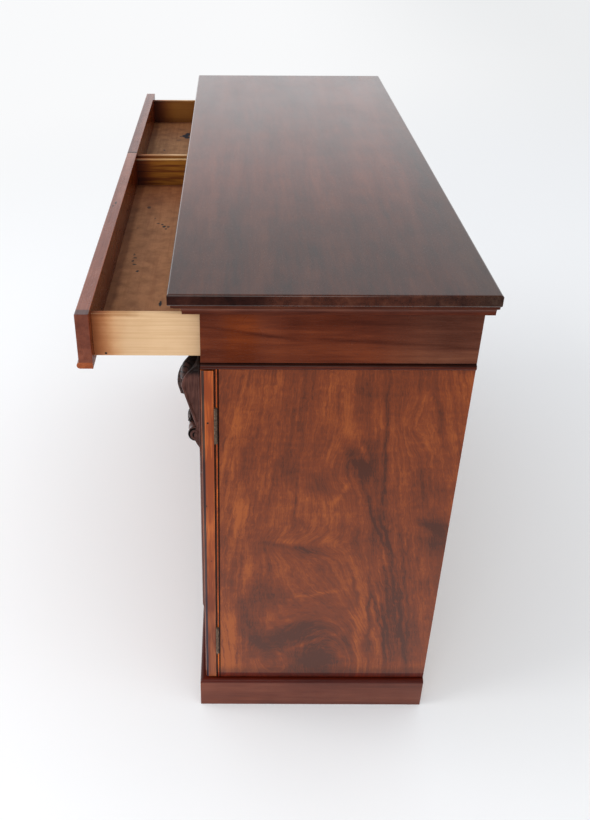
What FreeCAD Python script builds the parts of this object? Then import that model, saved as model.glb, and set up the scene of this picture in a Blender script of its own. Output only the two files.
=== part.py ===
import FreeCAD, Part
import math
import os

# Mahogany chiffonier: a low cupboard with two framed doors under two frieze drawers.
#
# Frame, millimetres: the origin is on the floor under the middle of the top, +X runs to the
# right hand of somebody facing the doors, the doors face -Y and +Z is up.  The drawers are
# stored pulled out by `drawer_pull`; both doors are stored shut.
#
# The case is a stack: plinth, case sides with the bottom board between them, a bead strip,
# frieze sides with the drawers between them, and the top on its cove moulding.  The right-hand
# side of each pair is drawn and the left-hand side is its mirror image.

# ---------------------------------------------------------------- driving sizes

# Top board and its overhangs
overall_height = 855.0
top_length = 1290.0
top_depth = 460.0
top_thickness = 18.0
top_arris_radius = 3.0
end_overhang = 22.0
back_overhang = 15.0
front_overhang = 23.0

# Case boards
side_thickness = 22.0
frieze_height = 102.0
bottom_thickness = 18.0
bottom_housing = 6.0
back_board_thickness = 12.0
back_board_count = 7
back_board_gap = 0.6
back_rebate_width = 11.0
shelf_thickness = 16.0
shelf_underside = 384.0
shelf_setback = 36.0
shelf_clearance = 0.5
shelf_bearer_height = 22.0
shelf_bearer_thickness = 18.0
shelf_bearer_end_gap = 14.0

# Scratched bead on the front arris of each case side
side_bead_width = 4.5
side_bead_radius = 2.0
quirk_width = 2.0
quirk_depth = 1.8

# Bead strip between case side and frieze, and under each drawer front
bead_height = 10.0
bead_projection = 3.5

# Cove moulding under the top
moulding_height = 20.5
moulding_projection = 18.5
moulding_fillet = 4.0
moulding_step = 3.0
moulding_foot_projection = 4.0
moulding_foot = 3.0
moulding_quirk = 2.0
moulding_back_gap = 1.5

# Plinth
plinth_height = 65.0
plinth_thickness = 20.0
plinth_end_projection = 8.0
plinth_front_projection = 10.0
plinth_arris_radius = 6.0
plinth_batten_thickness = 30.0
plinth_batten_height = 40.0
plinth_bearer_width = 25.0

# Rails, runners and kickers round the drawers
rail_depth = 66.0
rail_thickness = 22.0
top_rail_depth = 77.0
runner_width = 40.0
partition_thickness = 20.0
partition_offset = -127.7
kicker_width = 25.0

# Drawers
drawer_pull = 156.0
drawer_front_thickness = 20.4
drawer_front_arris = 1.5
drawer_closed_gap = 0.4
drawer_top_gap = 3.0
drawer_end_gap = 0.5
drawer_meeting_gap = 1.0
drawer_side_thickness = 9.5
drawer_side_clearance = 0.5
drawer_side_height = 68.7
drawer_side_round = 2.0
drawer_run_clearance = 0.3
drawer_kicker_gap = 2.0
drawer_length = 380.0
drawer_back_thickness = 9.5
drawer_back_drop = 4.0
drawer_bottom_thickness = 7.0
drawer_bottom_lift = 7.7
drawer_groove_depth = 5.0
dovetail_count = 3
dovetail_flare = 2.2
dovetail_share = 0.6
dovetail_lap = 14.0

# Doors
door_setback = 20.2
door_thickness = 20.0
door_back_gap = 0.5
door_end_gap = 0.5
door_top_gap = 3.0
door_bottom_gap = 2.0
door_meeting_gap = 2.0
door_arris_radius = 3.5
outer_stile_width = 120.0
meeting_stile_width = 62.0
door_rail_width = 71.0
tenon_length = 35.0
tenon_setback = 10.0
panel_thickness = 8.0
panel_setback = 6.8
groove_depth = 9.0
panel_edge_gap = 0.5
fit_clearance = 0.1

# Bolection moulding round each panel
bolection_lap = 8.0
bolection_width = 26.0
bolection_height = 8.5
bolection_foot = 1.5
bolection_lip = 2.0

# Corbel on each outer stile
corbel_width = 56.0
corbel_inset = 17.5
corbel_projection = 25.8
corbel_plate_thickness = 3.8
corbel_plate_margin = 3.0
corbel_plate_length = 217.0
corbel_plate_foot_width = 27.3
corbel_shoulder_drop = 18.0
corbel_shoulder_projection = 17.3
corbel_shoulder_bow = 1.2
corbel_crown_drop = 38.0
corbel_crown_bow = 2.9
corbel_neck_drop = 110.8
corbel_neck_projection = 4.5
corbel_length = 152.0
corbel_foot_fullness = 0.28
side_sinking = 1.5
side_margin = 4.0

# Volute at the corbel's foot
volute_radius = 13.0
volute_projection = 5.5
volute_end_angle = 72.0
volute_eye_radius = 4.0
volute_eye_height = 2.0

# Leaf over the corbel's crown
leaf_relief = 8.3
leaf_tip_drop = 64.0
leaf_tip_thickness = 4.5
leaf_half_width = 22.5
leaf_notch_half_widths = (22.5, 20.5, 14.0)
leaf_lobe_bulge = 3.5

# Small leaf above the volute
small_leaf_top_drop = 92.0
small_leaf_curl_drop = 106.0
small_leaf_tip_drop = 118.0
small_leaf_projection = 19.4
small_leaf_half_width = 15.0
small_leaf_notch_half_widths = (13.0,)
small_leaf_lobe_bulge = 3.0

# Butt hinges
hinge_length = 63.5
hinge_leaf_width = 22.5
hinge_leaf_thickness = 1.8
hinge_leaf_gap = 0.4
hinge_knuckle_radius = 2.6
hinge_knuckle_count = 5
hinge_pin_radius = 1.2
hinge_pin_clearance = 0.05
hinge_knuckle_clearance = 0.2
hinge_end_clearance = 0.2
hinge_axis_proud = 3.0
hinge_top_inset = 63.0
hinge_bottom_inset = 66.0

# Lock on the right door and bolt on the left door
lock_length = 50.0
lock_height = 60.0
lock_thickness = 10.0
lock_edge_gap = 4.0
lock_centre = 420.0
lock_wall = 1.4
lock_bolt_length = 36.0
lock_bolt_height = 14.0
lock_bolt_thickness = 6.0
lock_clearance = 0.3
keyhole_radius = 2.2
keyhole_slot = 9.0
keyhole_slot_width = 2.2
keyhole_offset = 30.0
escutcheon_height = 34.0
escutcheon_width = 22.0
escutcheon_thickness = 1.2

slide_radius = 3.0
slide_length = 74.0
slide_travel = 10.0
slide_lift = 1.0
slide_knob_radius = 3.0
slide_knob_length = 8.0
slide_plate_width = 24.0
slide_plate_thickness = 1.5
slide_staple_height = 9.0
slide_staple_wall = 2.0
slide_plate_margin = 5.0
slide_bore_clearance = 0.3
slide_socket_spare = 1.0

# ---------------------------------------------------------------- places worked out from them

ORIGIN = FreeCAD.Vector(0, 0, 0)
X_AXIS = FreeCAD.Vector(1, 0, 0)
Y_AXIS = FreeCAD.Vector(0, 1, 0)
Z_AXIS = FreeCAD.Vector(0, 0, 1)

# How far a cutter runs past the face that it cuts, and how near counts as touching
overrun = 1.0
touching = 0.01

top_front = -top_depth / 2
drawer_face = top_front + front_overhang
frieze_front = drawer_face + drawer_front_thickness + drawer_closed_gap
door_face = drawer_face + door_setback
door_back = door_face + door_thickness
case_front = door_back + door_back_gap
case_back = top_depth / 2 - back_overhang
back_board_face = case_back - back_board_thickness

under_top = overall_height - top_thickness
frieze_bottom = under_top - frieze_height
bead_bottom = frieze_bottom - bead_height
moulding_bottom = under_top - moulding_height
bottom_board_top = plinth_height + bottom_thickness

case_end = top_length / 2 - end_overhang
case_inner = case_end - side_thickness
plinth_end = case_end + plinth_end_projection
plinth_face = door_face - plinth_front_projection
rail_bottom = frieze_bottom - rail_thickness
rail_back = frieze_front + rail_depth
top_rail_back = drawer_face + top_rail_depth
partition_left = partition_offset - partition_thickness / 2
partition_right = partition_offset + partition_thickness / 2

drawer_run = frieze_bottom + drawer_run_clearance
drawer_side_top = drawer_run + drawer_side_height
drawer_front_top = moulding_bottom - drawer_top_gap
kicker_bottom = drawer_side_top + drawer_kicker_gap
open_face = drawer_face - drawer_pull
open_inner = open_face + drawer_front_thickness

door_top = bead_bottom - door_top_gap
door_bottom = plinth_height + door_bottom_gap
door_end = case_end - door_end_gap
door_start = door_meeting_gap / 2
panel_face = door_face + panel_setback
panel_back = panel_face + panel_thickness
opening_left = door_start + meeting_stile_width
opening_right = door_end - outer_stile_width
opening_low = door_bottom + door_rail_width
opening_high = door_top - door_rail_width

hinge_x = case_end + hinge_axis_proud
hinge_y = door_back + hinge_leaf_thickness + hinge_leaf_gap / 2
hinge_leaf_back = hinge_y + hinge_leaf_gap / 2 + hinge_leaf_thickness
hinge_leaf_edge = hinge_x - hinge_leaf_width
hinge_lows = [door_bottom + hinge_bottom_inset, door_top - hinge_top_inset - hinge_length]

slide_x = -(door_start + meeting_stile_width / 2)
slide_y = door_back + slide_plate_thickness + slide_radius + slide_bore_clearance
slide_low = bottom_board_top + slide_lift

# ---------------------------------------------------------------- drawing helpers


def point(x, y, z):
    """Return a point or direction."""
    return FreeCAD.Vector(x, y, z)


def board(x_span, y_span, z_span):
    """Return a rectangular board that fills three (low, high) spans."""
    size = [span[1] - span[0] for span in (x_span, y_span, z_span)]
    return Part.makeBox(size[0], size[1], size[2], point(x_span[0], y_span[0], z_span[0]))


def rod(radius, start, direction, length):
    """Return a round rod."""
    return Part.makeCylinder(radius, length, start, direction)


def closed_face(steps):
    """Return the face inside a closed outline.

    Each step is a point, reached by a straight line, or a (through, end) pair, reached by an arc.
    """
    edges = []
    here = steps[0]
    for step in list(steps[1:]) + [steps[0]]:
        if isinstance(step, tuple):
            edges.append(Part.Arc(here, step[0], step[1]).toShape())
            here = step[1]
        elif here.distanceToPoint(step) > 1e-6:
            edges.append(Part.makeLine(here, step))
            here = step
    return Part.Face(Part.Wire(edges))


def quarter(start, end, corner, fullness=2 ** 0.5 - 1):
    """Return the arc step from start to end that bulges towards corner, like a quarter circle."""
    middle = (start + end) * 0.5
    return (middle + (corner - middle) * fullness, end)


def bowed(start, end, bow):
    """Return the arc step from start to end whose middle stands `bow` in front of its chord."""
    chord = end - start
    return ((start + end) * 0.5 + chord.cross(X_AXIS).normalize() * bow, end)


def extruded(steps, direction):
    """Return the solid of a closed outline carried along a direction."""
    return closed_face(steps).extrude(direction)


def joined(shapes):
    """Return shapes fused into one clean solid."""
    whole = shapes[0]
    for shape in shapes[1:]:
        whole = whole.fuse(shape)
    return whole.removeSplitter()


def without(shape, cutters):
    """Return shape with each cutter taken away."""
    for cutter in cutters:
        shape = shape.cut(cutter)
    return shape


def mirrored(shape):
    """Return the left-hand twin of a right-hand shape."""
    return shape.mirror(ORIGIN, X_AXIS)


def mitre_keeper(corner_x, corner_y, beside):
    """Return the half space on one side of the mitre plane through a front right-hand corner.

    beside is 1 for the piece that runs back along the end and -1 for the one along the front.
    """
    reach = 2 * top_length
    half = board((0, reach), (-reach, reach), (-reach, reach))
    if beside < 0:
        half = board((-reach, 0), (-reach, reach), (-reach, reach))
    half.rotate(ORIGIN, Z_AXIS, 45)
    half.translate(point(corner_x, corner_y, 0))
    return half


def mitred_pair(section, corner_x, corner_y, run_back):
    """Return the front and right-hand strips of a moulding that turns a mitred corner.

    section(place) gives the outline's steps, where place(out, z) puts a point of the section
    at a distance out past the faces that meet at the corner.
    """
    front_steps = section(lambda out, z: point(-2 * corner_x, corner_y - out, z))
    front = extruded(front_steps, point(4 * corner_x, 0, 0))
    front = front.common(mitre_keeper(corner_x, corner_y, -1))
    front = front.common(mirrored(mitre_keeper(corner_x, corner_y, -1)))
    start = 2 * corner_y
    end_steps = section(lambda out, z: point(corner_x + out, start, z))
    end = extruded(end_steps, point(0, run_back - start, 0))
    return front, end.common(mitre_keeper(corner_x, corner_y, 1))


nodes = {}


def keep(name, shape):
    """File a finished piece, or a list of like pieces, under its node name."""
    nodes[name] = Part.makeCompound(shape) if isinstance(shape, list) else shape


def keep_pair(stem, shape):
    """File a right-hand piece and its left-hand twin."""
    shapes = shape if isinstance(shape, list) else [shape]
    keep(stem + "_right", shape)
    twins = [mirrored(one) for one in shapes]
    keep(stem + "_left", twins if isinstance(shape, list) else twins[0])


# ---------------------------------------------------------------- top and mouldings


def top_board():
    """Top: one wide board, its arrises softened along each edge so that they mitre."""
    slab = board(
        (-top_length / 2, top_length / 2),
        (top_front, top_depth / 2),
        (under_top, overall_height),
    )
    level_edges = [edge for edge in slab.Edges if edge.BoundBox.ZLength < touching]
    return slab.makeFillet(top_arris_radius, level_edges)


def cove_section(place):
    """Cove moulding: fillet and step at the top, hollow, small square foot."""
    inner_step = moulding_projection - moulding_step
    hollow_top = under_top - moulding_fillet - moulding_quirk
    foot_top = moulding_bottom + moulding_foot
    hollow_start = place(inner_step, hollow_top)
    hollow_end = place(moulding_foot_projection, foot_top)
    return [
        place(0, under_top),
        place(moulding_projection, under_top),
        place(moulding_projection, under_top - moulding_fillet),
        place(inner_step, under_top - moulding_fillet),
        hollow_start,
        quarter(hollow_start, hollow_end, place(moulding_foot_projection, hollow_top)),
        place(moulding_foot_projection, moulding_bottom),
        place(0, moulding_bottom),
    ]


def top_rail():
    """Front rail under the top, notched round the ends of the frieze sides."""
    nose = board(
        (-case_end, case_end), (drawer_face, frieze_front), (moulding_bottom, under_top)
    )
    body = board(
        (-case_inner, case_inner), (frieze_front, top_rail_back), (moulding_bottom, under_top)
    )
    return joined([nose, body])


# ---------------------------------------------------------------- case


def back_rebate():
    """Space of the rebate that takes the back boards, down the right-hand side."""
    return board(
        (case_inner - overrun, case_inner + back_rebate_width),
        (back_board_face, case_back + overrun),
        (0, overall_height),
    )


def case_side():
    """Case side: bead and quirk on the front arris, rebates behind and below, hinge seats."""
    face = case_end
    bead_end = case_front + side_bead_width
    quirk_end = bead_end + quirk_width
    arris_start = point(face - side_bead_radius, case_front, plinth_height)
    arris_end = point(face, case_front + side_bead_radius, plinth_height)
    steps = [
        point(case_inner, case_front, plinth_height),
        arris_start,
        quarter(arris_start, arris_end, point(face, case_front, plinth_height)),
        point(face, bead_end, plinth_height),
        point(face - quirk_depth, bead_end, plinth_height),
        point(face - quirk_depth, quirk_end, plinth_height),
        point(face, quirk_end, plinth_height),
        point(face, case_back, plinth_height),
        point(case_inner, case_back, plinth_height),
    ]
    side = extruded(steps, point(0, 0, bead_bottom - plinth_height))
    bottom_seat = board(
        (case_inner - overrun, case_inner + bottom_housing),
        (case_front - overrun, back_board_face + overrun),
        (plinth_height - overrun, bottom_board_top),
    )
    hinge_seats = [
        board(
            (hinge_leaf_edge, case_end + overrun),
            (case_front - overrun, hinge_leaf_back),
            (low, low + hinge_length),
        )
        for low in hinge_lows
    ]
    return without(side, [back_rebate(), bottom_seat] + hinge_seats)


def bead_strip():
    """Bead strip between case side and frieze side, with a half-round nose."""
    radius = bead_height / 2
    centre = case_end + bead_projection - radius
    steps = [
        point(case_inner, frieze_front, bead_bottom),
        point(centre, frieze_front, bead_bottom),
        (
            point(centre + radius, frieze_front, bead_bottom + radius),
            point(centre, frieze_front, frieze_bottom),
        ),
        point(case_inner, frieze_front, frieze_bottom),
    ]
    return extruded(steps, point(0, case_back - frieze_front, 0)).cut(back_rebate())


def frieze_side():
    """Frieze side: horizontal-grained board between the bead strip and the top."""
    side = board((case_inner, case_end), (frieze_front, case_back), (frieze_bottom, under_top))
    return side.cut(back_rebate())


def bottom_board():
    """Bottom of the cupboard, housed in the sides, with the socket of the left door's bolt."""
    reach = case_inner + bottom_housing
    panel = board(
        (-reach, reach), (case_front, back_board_face), (plinth_height, bottom_board_top)
    )
    socket_depth = slide_travel - slide_lift + slide_socket_spare
    socket = rod(
        slide_radius + slide_bore_clearance,
        point(slide_x, slide_y, bottom_board_top - socket_depth),
        Z_AXIS,
        socket_depth + overrun,
    )
    return panel.cut(socket)


def back_boards():
    """Upright back boards in the rebates of the sides."""
    reach = case_inner + back_rebate_width
    pitch = (2 * reach - back_board_gap) / back_board_count
    boards = []
    for index in range(back_board_count):
        left = -reach + back_board_gap + index * pitch
        boards.append(
            board(
                (left, left + pitch - back_board_gap),
                (back_board_face, case_back),
                (plinth_height, under_top),
            )
        )
    return boards


def shelf():
    """Loose shelf."""
    reach = case_inner - shelf_clearance
    return board(
        (-reach, reach),
        (case_front + shelf_setback, back_board_face),
        (shelf_underside, shelf_underside + shelf_thickness),
    )


def shelf_bearers():
    """Bearer under each end of the shelf."""
    bearer = board(
        (case_inner - shelf_bearer_thickness, case_inner),
        (case_front + shelf_setback + shelf_bearer_end_gap, back_board_face),
        (shelf_underside - shelf_bearer_height, shelf_underside),
    )
    return [bearer, mirrored(bearer)]


# ---------------------------------------------------------------- plinth


def plinth_section(place):
    """Plinth board: upright face with an ovolo on its top arris."""
    arris_start = place(0, plinth_height - plinth_arris_radius)
    arris_end = place(-plinth_arris_radius, plinth_height)
    return [
        place(0, 0),
        arris_start,
        quarter(arris_start, arris_end, place(0, plinth_height)),
        place(-plinth_thickness, plinth_height),
        place(-plinth_thickness, 0),
    ]


def plinth_bearers():
    """Batten behind the plinth front, cross bearer in the middle and board at the back."""
    inner_end = plinth_end - plinth_thickness
    inner_face = plinth_face + plinth_thickness
    batten_back = inner_face + plinth_batten_thickness
    back_inner = case_back - plinth_thickness
    batten = board(
        (-inner_end, inner_end),
        (inner_face, batten_back),
        (plinth_height - plinth_batten_height, plinth_height),
    )
    bearer = board(
        (-plinth_bearer_width / 2, plinth_bearer_width / 2),
        (batten_back, back_inner),
        (0, plinth_height),
    )
    back = board((-inner_end, inner_end), (back_inner, case_back), (0, plinth_height))
    return [batten, bearer, back]


# ---------------------------------------------------------------- drawer bay


def drawer_rail():
    """Rail under the drawers, rebated in front over the tops of the doors."""
    steps = [
        point(-case_inner, frieze_front, bead_bottom),
        point(-case_inner, frieze_front, frieze_bottom),
        point(-case_inner, rail_back, frieze_bottom),
        point(-case_inner, rail_back, rail_bottom),
        point(-case_inner, case_front, rail_bottom),
        point(-case_inner, case_front, bead_bottom),
    ]
    return extruded(steps, point(2 * case_inner, 0, 0))


def drawer_partition():
    """Upright division between the two drawers, notched under the top rail."""
    sheet = board(
        (partition_left, partition_right),
        (frieze_front, back_board_face),
        (frieze_bottom, under_top),
    )
    notch = board(
        (partition_left - overrun, partition_right + overrun),
        (frieze_front - overrun, top_rail_back),
        (moulding_bottom, under_top + overrun),
    )
    return sheet.cut(notch)


def drawer_runners():
    """Runners that carry the drawer sides: one at each end and a double one in the middle."""
    y_span = (rail_back, back_board_face)
    z_span = (rail_bottom, frieze_bottom)
    centre = board(
        (partition_left - runner_width, partition_right + runner_width), y_span, z_span
    )
    end = board((case_inner - runner_width, case_inner), y_span, z_span)
    return [mirrored(end), centre, end]


def drawer_kickers():
    """Kickers above the drawer sides, which stop an open drawer from tipping."""
    y_span = (top_rail_back, back_board_face)
    z_span = (kicker_bottom, under_top)
    lefts = [-case_inner, partition_left - kicker_width, partition_right, case_inner - kicker_width]
    return [board((left, left + kicker_width), y_span, z_span) for left in lefts]


# ---------------------------------------------------------------- drawers


def tails(x_span, root, tip, z_span, grow):
    """Return the dovetails of one board end, each wider at the tip than at the root.

    grow makes sockets: it widens each tail, and lengthens it past the tip.
    """
    pitch = (z_span[1] - z_span[0]) / dovetail_count
    half_root = pitch * dovetail_share / 2 - dovetail_flare / 2 + grow
    half_tip = half_root + dovetail_flare
    beyond = tip + grow * (1 if tip > root else -1)
    shapes = []
    for index in range(dovetail_count):
        middle = z_span[0] + pitch * (index + 0.5)
        steps = [
            point(x_span[0] - grow, root, middle - half_root),
            point(x_span[0] - grow, beyond, middle - half_tip),
            point(x_span[0] - grow, beyond, middle + half_tip),
            point(x_span[0] - grow, root, middle + half_root),
        ]
        shapes.append(extruded(steps, point(x_span[1] - x_span[0] + 2 * grow, 0, 0)))
    return shapes


def drawer_side(x_span, groove_x_span, floor_span, back_span, back_z_span):
    """Drawer side: rounded top edge, bottom groove, tails into the front and round the back."""
    left, right = x_span
    back_end = back_span[1]
    steps = [
        point(left, open_inner, drawer_run),
        point(left, open_inner, drawer_side_top - drawer_side_round),
        point(left + drawer_side_round, open_inner, drawer_side_top),
        point(right - drawer_side_round, open_inner, drawer_side_top),
        point(right, open_inner, drawer_side_top - drawer_side_round),
        point(right, open_inner, drawer_run),
    ]
    steps[2] = quarter(steps[1], steps[2], point(left, open_inner, drawer_side_top))
    steps[4] = quarter(steps[3], steps[4], point(right, open_inner, drawer_side_top))
    side = extruded(steps, point(0, back_end - open_inner, 0))
    groove = board(
        groove_x_span,
        (open_inner - overrun, back_end + overrun),
        (floor_span[0] - fit_clearance, floor_span[1] + fit_clearance),
    )
    pins = board(
        (left - overrun, right + overrun), (back_span[0], back_end + overrun), back_z_span
    )
    pins = without(pins, tails(x_span, back_span[0], back_end, back_z_span, 0))
    front_z_span = (floor_span[1] + fit_clearance, drawer_side_top - drawer_side_round)
    front_tails = tails(x_span, open_inner, open_inner - dovetail_lap, front_z_span, 0)
    return joined([without(side, [groove, pins])] + front_tails)


def drawer(stem, front_span, bay_span):
    """Make one drawer between the ends of its front and the walls of its bay."""
    left = bay_span[0] + drawer_side_clearance
    right = bay_span[1] - drawer_side_clearance
    left_span = (left, left + drawer_side_thickness)
    right_span = (right - drawer_side_thickness, right)
    floor_low = drawer_run + drawer_bottom_lift
    floor_span = (floor_low, floor_low + drawer_bottom_thickness)
    back_end = open_inner + drawer_length
    back_span = (back_end - drawer_back_thickness, back_end)
    back_z_span = (floor_span[1] + fit_clearance, drawer_side_top - drawer_back_drop)
    tail_z_span = (floor_span[1] + fit_clearance, drawer_side_top - drawer_side_round)

    front = board(front_span, (open_face, open_inner), (frieze_bottom, drawer_front_top))
    outer_edges = [
        edge for edge in front.Edges
        if edge.BoundBox.YMax < open_face + touching
        and edge.BoundBox.ZMin > frieze_bottom + touching
    ]
    front = front.makeFillet(drawer_front_arris, outer_edges)
    front_groove = board(
        (left_span[1] - drawer_groove_depth, right_span[0] + drawer_groove_depth),
        (open_inner - drawer_groove_depth, open_inner + overrun),
        (floor_span[0] - fit_clearance, floor_span[1] + fit_clearance),
    )
    sockets = []
    for span in (left_span, right_span):
        tip = open_inner - dovetail_lap
        sockets += tails(span, open_inner, tip, tail_z_span, fit_clearance)
    keep(stem + "_front", without(front, [front_groove] + sockets))

    nose_radius = bead_height / 2
    nose_centre = open_face - bead_projection + nose_radius
    bead_steps = [
        point(front_span[0], open_inner, bead_bottom),
        point(front_span[0], nose_centre, bead_bottom),
        (
            point(front_span[0], nose_centre - nose_radius, bead_bottom + nose_radius),
            point(front_span[0], nose_centre, frieze_bottom),
        ),
        point(front_span[0], open_inner, frieze_bottom),
    ]
    keep(stem + "_bead", extruded(bead_steps, point(front_span[1] - front_span[0], 0, 0)))

    left_groove = (left_span[1] - drawer_groove_depth, left_span[1] + overrun)
    right_groove = (right_span[0] - overrun, right_span[0] + drawer_groove_depth)
    sides = (("_side_left", left_span, left_groove), ("_side_right", right_span, right_groove))
    for name, span, groove in sides:
        keep(stem + name, drawer_side(span, groove, floor_span, back_span, back_z_span))

    back = board((left, right), back_span, back_z_span)
    end_sockets = []
    for span in (left_span, right_span):
        end_sockets += tails(span, back_span[0], back_end, back_z_span, fit_clearance)
    keep(stem + "_back", without(back, end_sockets))

    inset = drawer_groove_depth - fit_clearance
    floor = board(
        (left_span[1] - inset, right_span[0] + inset), (open_inner - inset, back_end), floor_span
    )
    keep(stem + "_bottom", floor)


# ---------------------------------------------------------------- doors


def groove_space(x_span, z_span):
    """Space of the panel groove inside a door frame."""
    return board(x_span, (panel_face - fit_clearance, panel_back + fit_clearance), z_span)


def tenon(x_span, z_span, grow):
    """Tenon of a door rail, or with grow its mortise."""
    return board(
        (x_span[0] - grow, x_span[1] + grow),
        (panel_face - grow, panel_back + grow),
        (z_span[0] - grow, z_span[1] + grow),
    )


def tenon_spans():
    """Heights of the tenons on the bottom rail and the top rail."""
    low = (door_bottom + tenon_setback, opening_low - groove_depth - fit_clearance)
    high = (opening_high + groove_depth + fit_clearance, door_top - tenon_setback)
    return [low, high]


def outer_stile():
    """Hanging stile with a rounded outer arris, panel groove and mortises."""
    arris_start = point(door_end, door_face + door_arris_radius, door_bottom)
    arris_end = point(door_end - door_arris_radius, door_face, door_bottom)
    steps = [
        point(opening_right, door_back, door_bottom),
        point(door_end, door_back, door_bottom),
        arris_start,
        quarter(arris_start, arris_end, point(door_end, door_face, door_bottom)),
        point(opening_right, door_face, door_bottom),
    ]
    stile = extruded(steps, point(0, 0, door_top - door_bottom))
    z_span = (opening_low - groove_depth, opening_high + groove_depth)
    cutters = [groove_space((opening_right - overrun, opening_right + groove_depth), z_span)]
    mortise_span = (opening_right, opening_right + tenon_length)
    cutters += [tenon(mortise_span, span, fit_clearance) for span in tenon_spans()]
    return without(stile, cutters)


def meeting_stile():
    """Meeting stile with panel groove and mortises."""
    stile = board((door_start, opening_left), (door_face, door_back), (door_bottom, door_top))
    z_span = (opening_low - groove_depth, opening_high + groove_depth)
    cutters = [groove_space((opening_left - groove_depth, opening_left + overrun), z_span)]
    mortise_span = (opening_left - tenon_length, opening_left)
    cutters += [tenon(mortise_span, span, fit_clearance) for span in tenon_spans()]
    return without(stile, cutters)


def door_rail(z_span, groove_z_span, tenon_z_span):
    """Door rail between the stiles, with a groove along one edge and a tenon at each end."""
    body = board((opening_left, opening_right), (door_face, door_back), z_span)
    groove_x_span = (opening_left - overrun, opening_right + overrun)
    body = body.cut(groove_space(groove_x_span, groove_z_span))
    left = (opening_left - tenon_length, opening_left)
    right = (opening_right, opening_right + tenon_length)
    return joined([body, tenon(left, tenon_z_span, 0), tenon(right, tenon_z_span, 0)])


def door_panel():
    """Flat figured panel, free to move in its grooves."""
    inset = groove_depth - panel_edge_gap
    return board(
        (opening_left - inset, opening_right + inset),
        (panel_face, panel_back),
        (opening_low - inset, opening_high + inset),
    )


def bolection_section(place):
    """Bolection moulding: lip on the frame, round back, hollow down to the panel.

    place(inward, proud) measures inward from the outer edge and proud of the frame's face.
    """
    crown = place(bolection_lap, bolection_height)
    lip = place(0, bolection_lip)
    foot = place(bolection_width, bolection_foot - panel_setback)
    return [
        place(0, 0),
        lip,
        quarter(lip, crown, place(0, bolection_height)),
        quarter(crown, foot, place(bolection_lap, bolection_foot - panel_setback)),
        place(bolection_width, -panel_setback),
        place(bolection_lap, -panel_setback),
        place(bolection_lap, 0),
    ]


def panel_moulding():
    """Four mitred lengths of bolection moulding round the panel of the right-hand door."""
    left = opening_left - bolection_lap
    right = opening_right + bolection_lap
    low = opening_low - bolection_lap
    high = opening_high + bolection_lap
    wedge_depth = (-bolection_height - overrun, panel_setback + overrun)

    def wedge(corners):
        """Keep-region of one strip: a flat prism through the mitre lines."""
        start = [point(x, door_face + wedge_depth[0], z) for x, z in corners]
        return extruded(start, point(0, wedge_depth[1] - wedge_depth[0], 0))

    half_height = (high - low) / 2
    half_width = (right - left) / 2
    reach = min(half_height, half_width)
    low_in, high_in = low + reach, high - reach
    left_in, right_in = left + reach, right - reach
    strips = []
    for edge, sense, corners in (
        (low, 1, [(left, low), (right, low), (right_in, low_in), (left_in, low_in)]),
        (high, -1, [(left, high), (left_in, high_in), (right_in, high_in), (right, high)]),
    ):
        steps = bolection_section(
            lambda inward, proud: point(left, door_face - proud, edge + sense * inward)
        )
        strips.append(extruded(steps, point(right - left, 0, 0)).common(wedge(corners)))
    for edge, sense, corners in (
        (left, 1, [(left, low), (left_in, low_in), (left_in, high_in), (left, high)]),
        (right, -1, [(right, low), (right, high), (right_in, high_in), (right_in, low_in)]),
    ):
        steps = bolection_section(
            lambda inward, proud: point(edge + sense * inward, door_face - proud, low)
        )
        strips.append(extruded(steps, point(0, 0, high - low)).common(wedge(corners)))
    return strips


# ---------------------------------------------------------------- corbels

corbel_right = door_end - corbel_inset
corbel_left = corbel_right - corbel_width
corbel_middle = (corbel_left + corbel_right) / 2
corbel_back = door_face - corbel_plate_thickness


def on_corbel(x, out, drop):
    """Return a point at a distance out from the corbel's plate and a drop below the door's top."""
    return point(x, corbel_back - out, door_top - drop)


def taper_at(drop):
    """Return how far the corbel's straight taper stands out at a drop."""
    share = (drop - corbel_crown_drop) / (corbel_neck_drop - corbel_crown_drop)
    return corbel_projection + (corbel_neck_projection - corbel_projection) * share


def corbel_body():
    """Corbel block: bowed crown, straight taper, volute and a foot that dies into the plate."""
    left = corbel_left
    shoulder = on_corbel(left, corbel_shoulder_projection, corbel_shoulder_drop)
    crown = on_corbel(left, corbel_projection, corbel_crown_drop)
    volute_out = on_corbel(
        left, volute_projection + volute_radius, corbel_neck_drop + volute_radius
    )
    turn = math.radians(volute_end_angle)
    foot_out = volute_projection + volute_radius * math.cos(turn)
    foot_drop = corbel_neck_drop + volute_radius * (1 + math.sin(turn))
    foot = on_corbel(left, foot_out, foot_drop)
    steps = [
        on_corbel(left, 0, 0),
        bowed(on_corbel(left, 0, 0), shoulder, corbel_shoulder_bow),
        bowed(shoulder, crown, corbel_crown_bow),
        on_corbel(left, corbel_neck_projection, corbel_neck_drop),
        (volute_out, foot),
        quarter(
            foot,
            on_corbel(left, 0, corbel_length),
            on_corbel(left, 0, foot_drop),
            corbel_foot_fullness,
        ),
    ]
    return extruded(steps, X_AXIS * corbel_width)


def corbel_sinking(x):
    """Sunk field on one flank of the corbel, inside a raised margin on its crown and taper."""
    crown_out = corbel_projection - side_margin
    neck_drop = corbel_neck_drop - 3 * side_margin
    shoulder = on_corbel(x, corbel_shoulder_projection - side_margin, corbel_shoulder_drop)
    steps = [
        on_corbel(x, 0, 2 * side_margin),
        bowed(on_corbel(x, 0, 2 * side_margin), shoulder, corbel_shoulder_bow / 2),
        bowed(shoulder, on_corbel(x, crown_out, corbel_crown_drop), corbel_crown_bow),
        on_corbel(x, max(taper_at(neck_drop) - side_margin, side_margin), neck_drop),
        on_corbel(x, 0, neck_drop),
    ]
    return extruded(steps, X_AXIS * (side_sinking + overrun))


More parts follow.
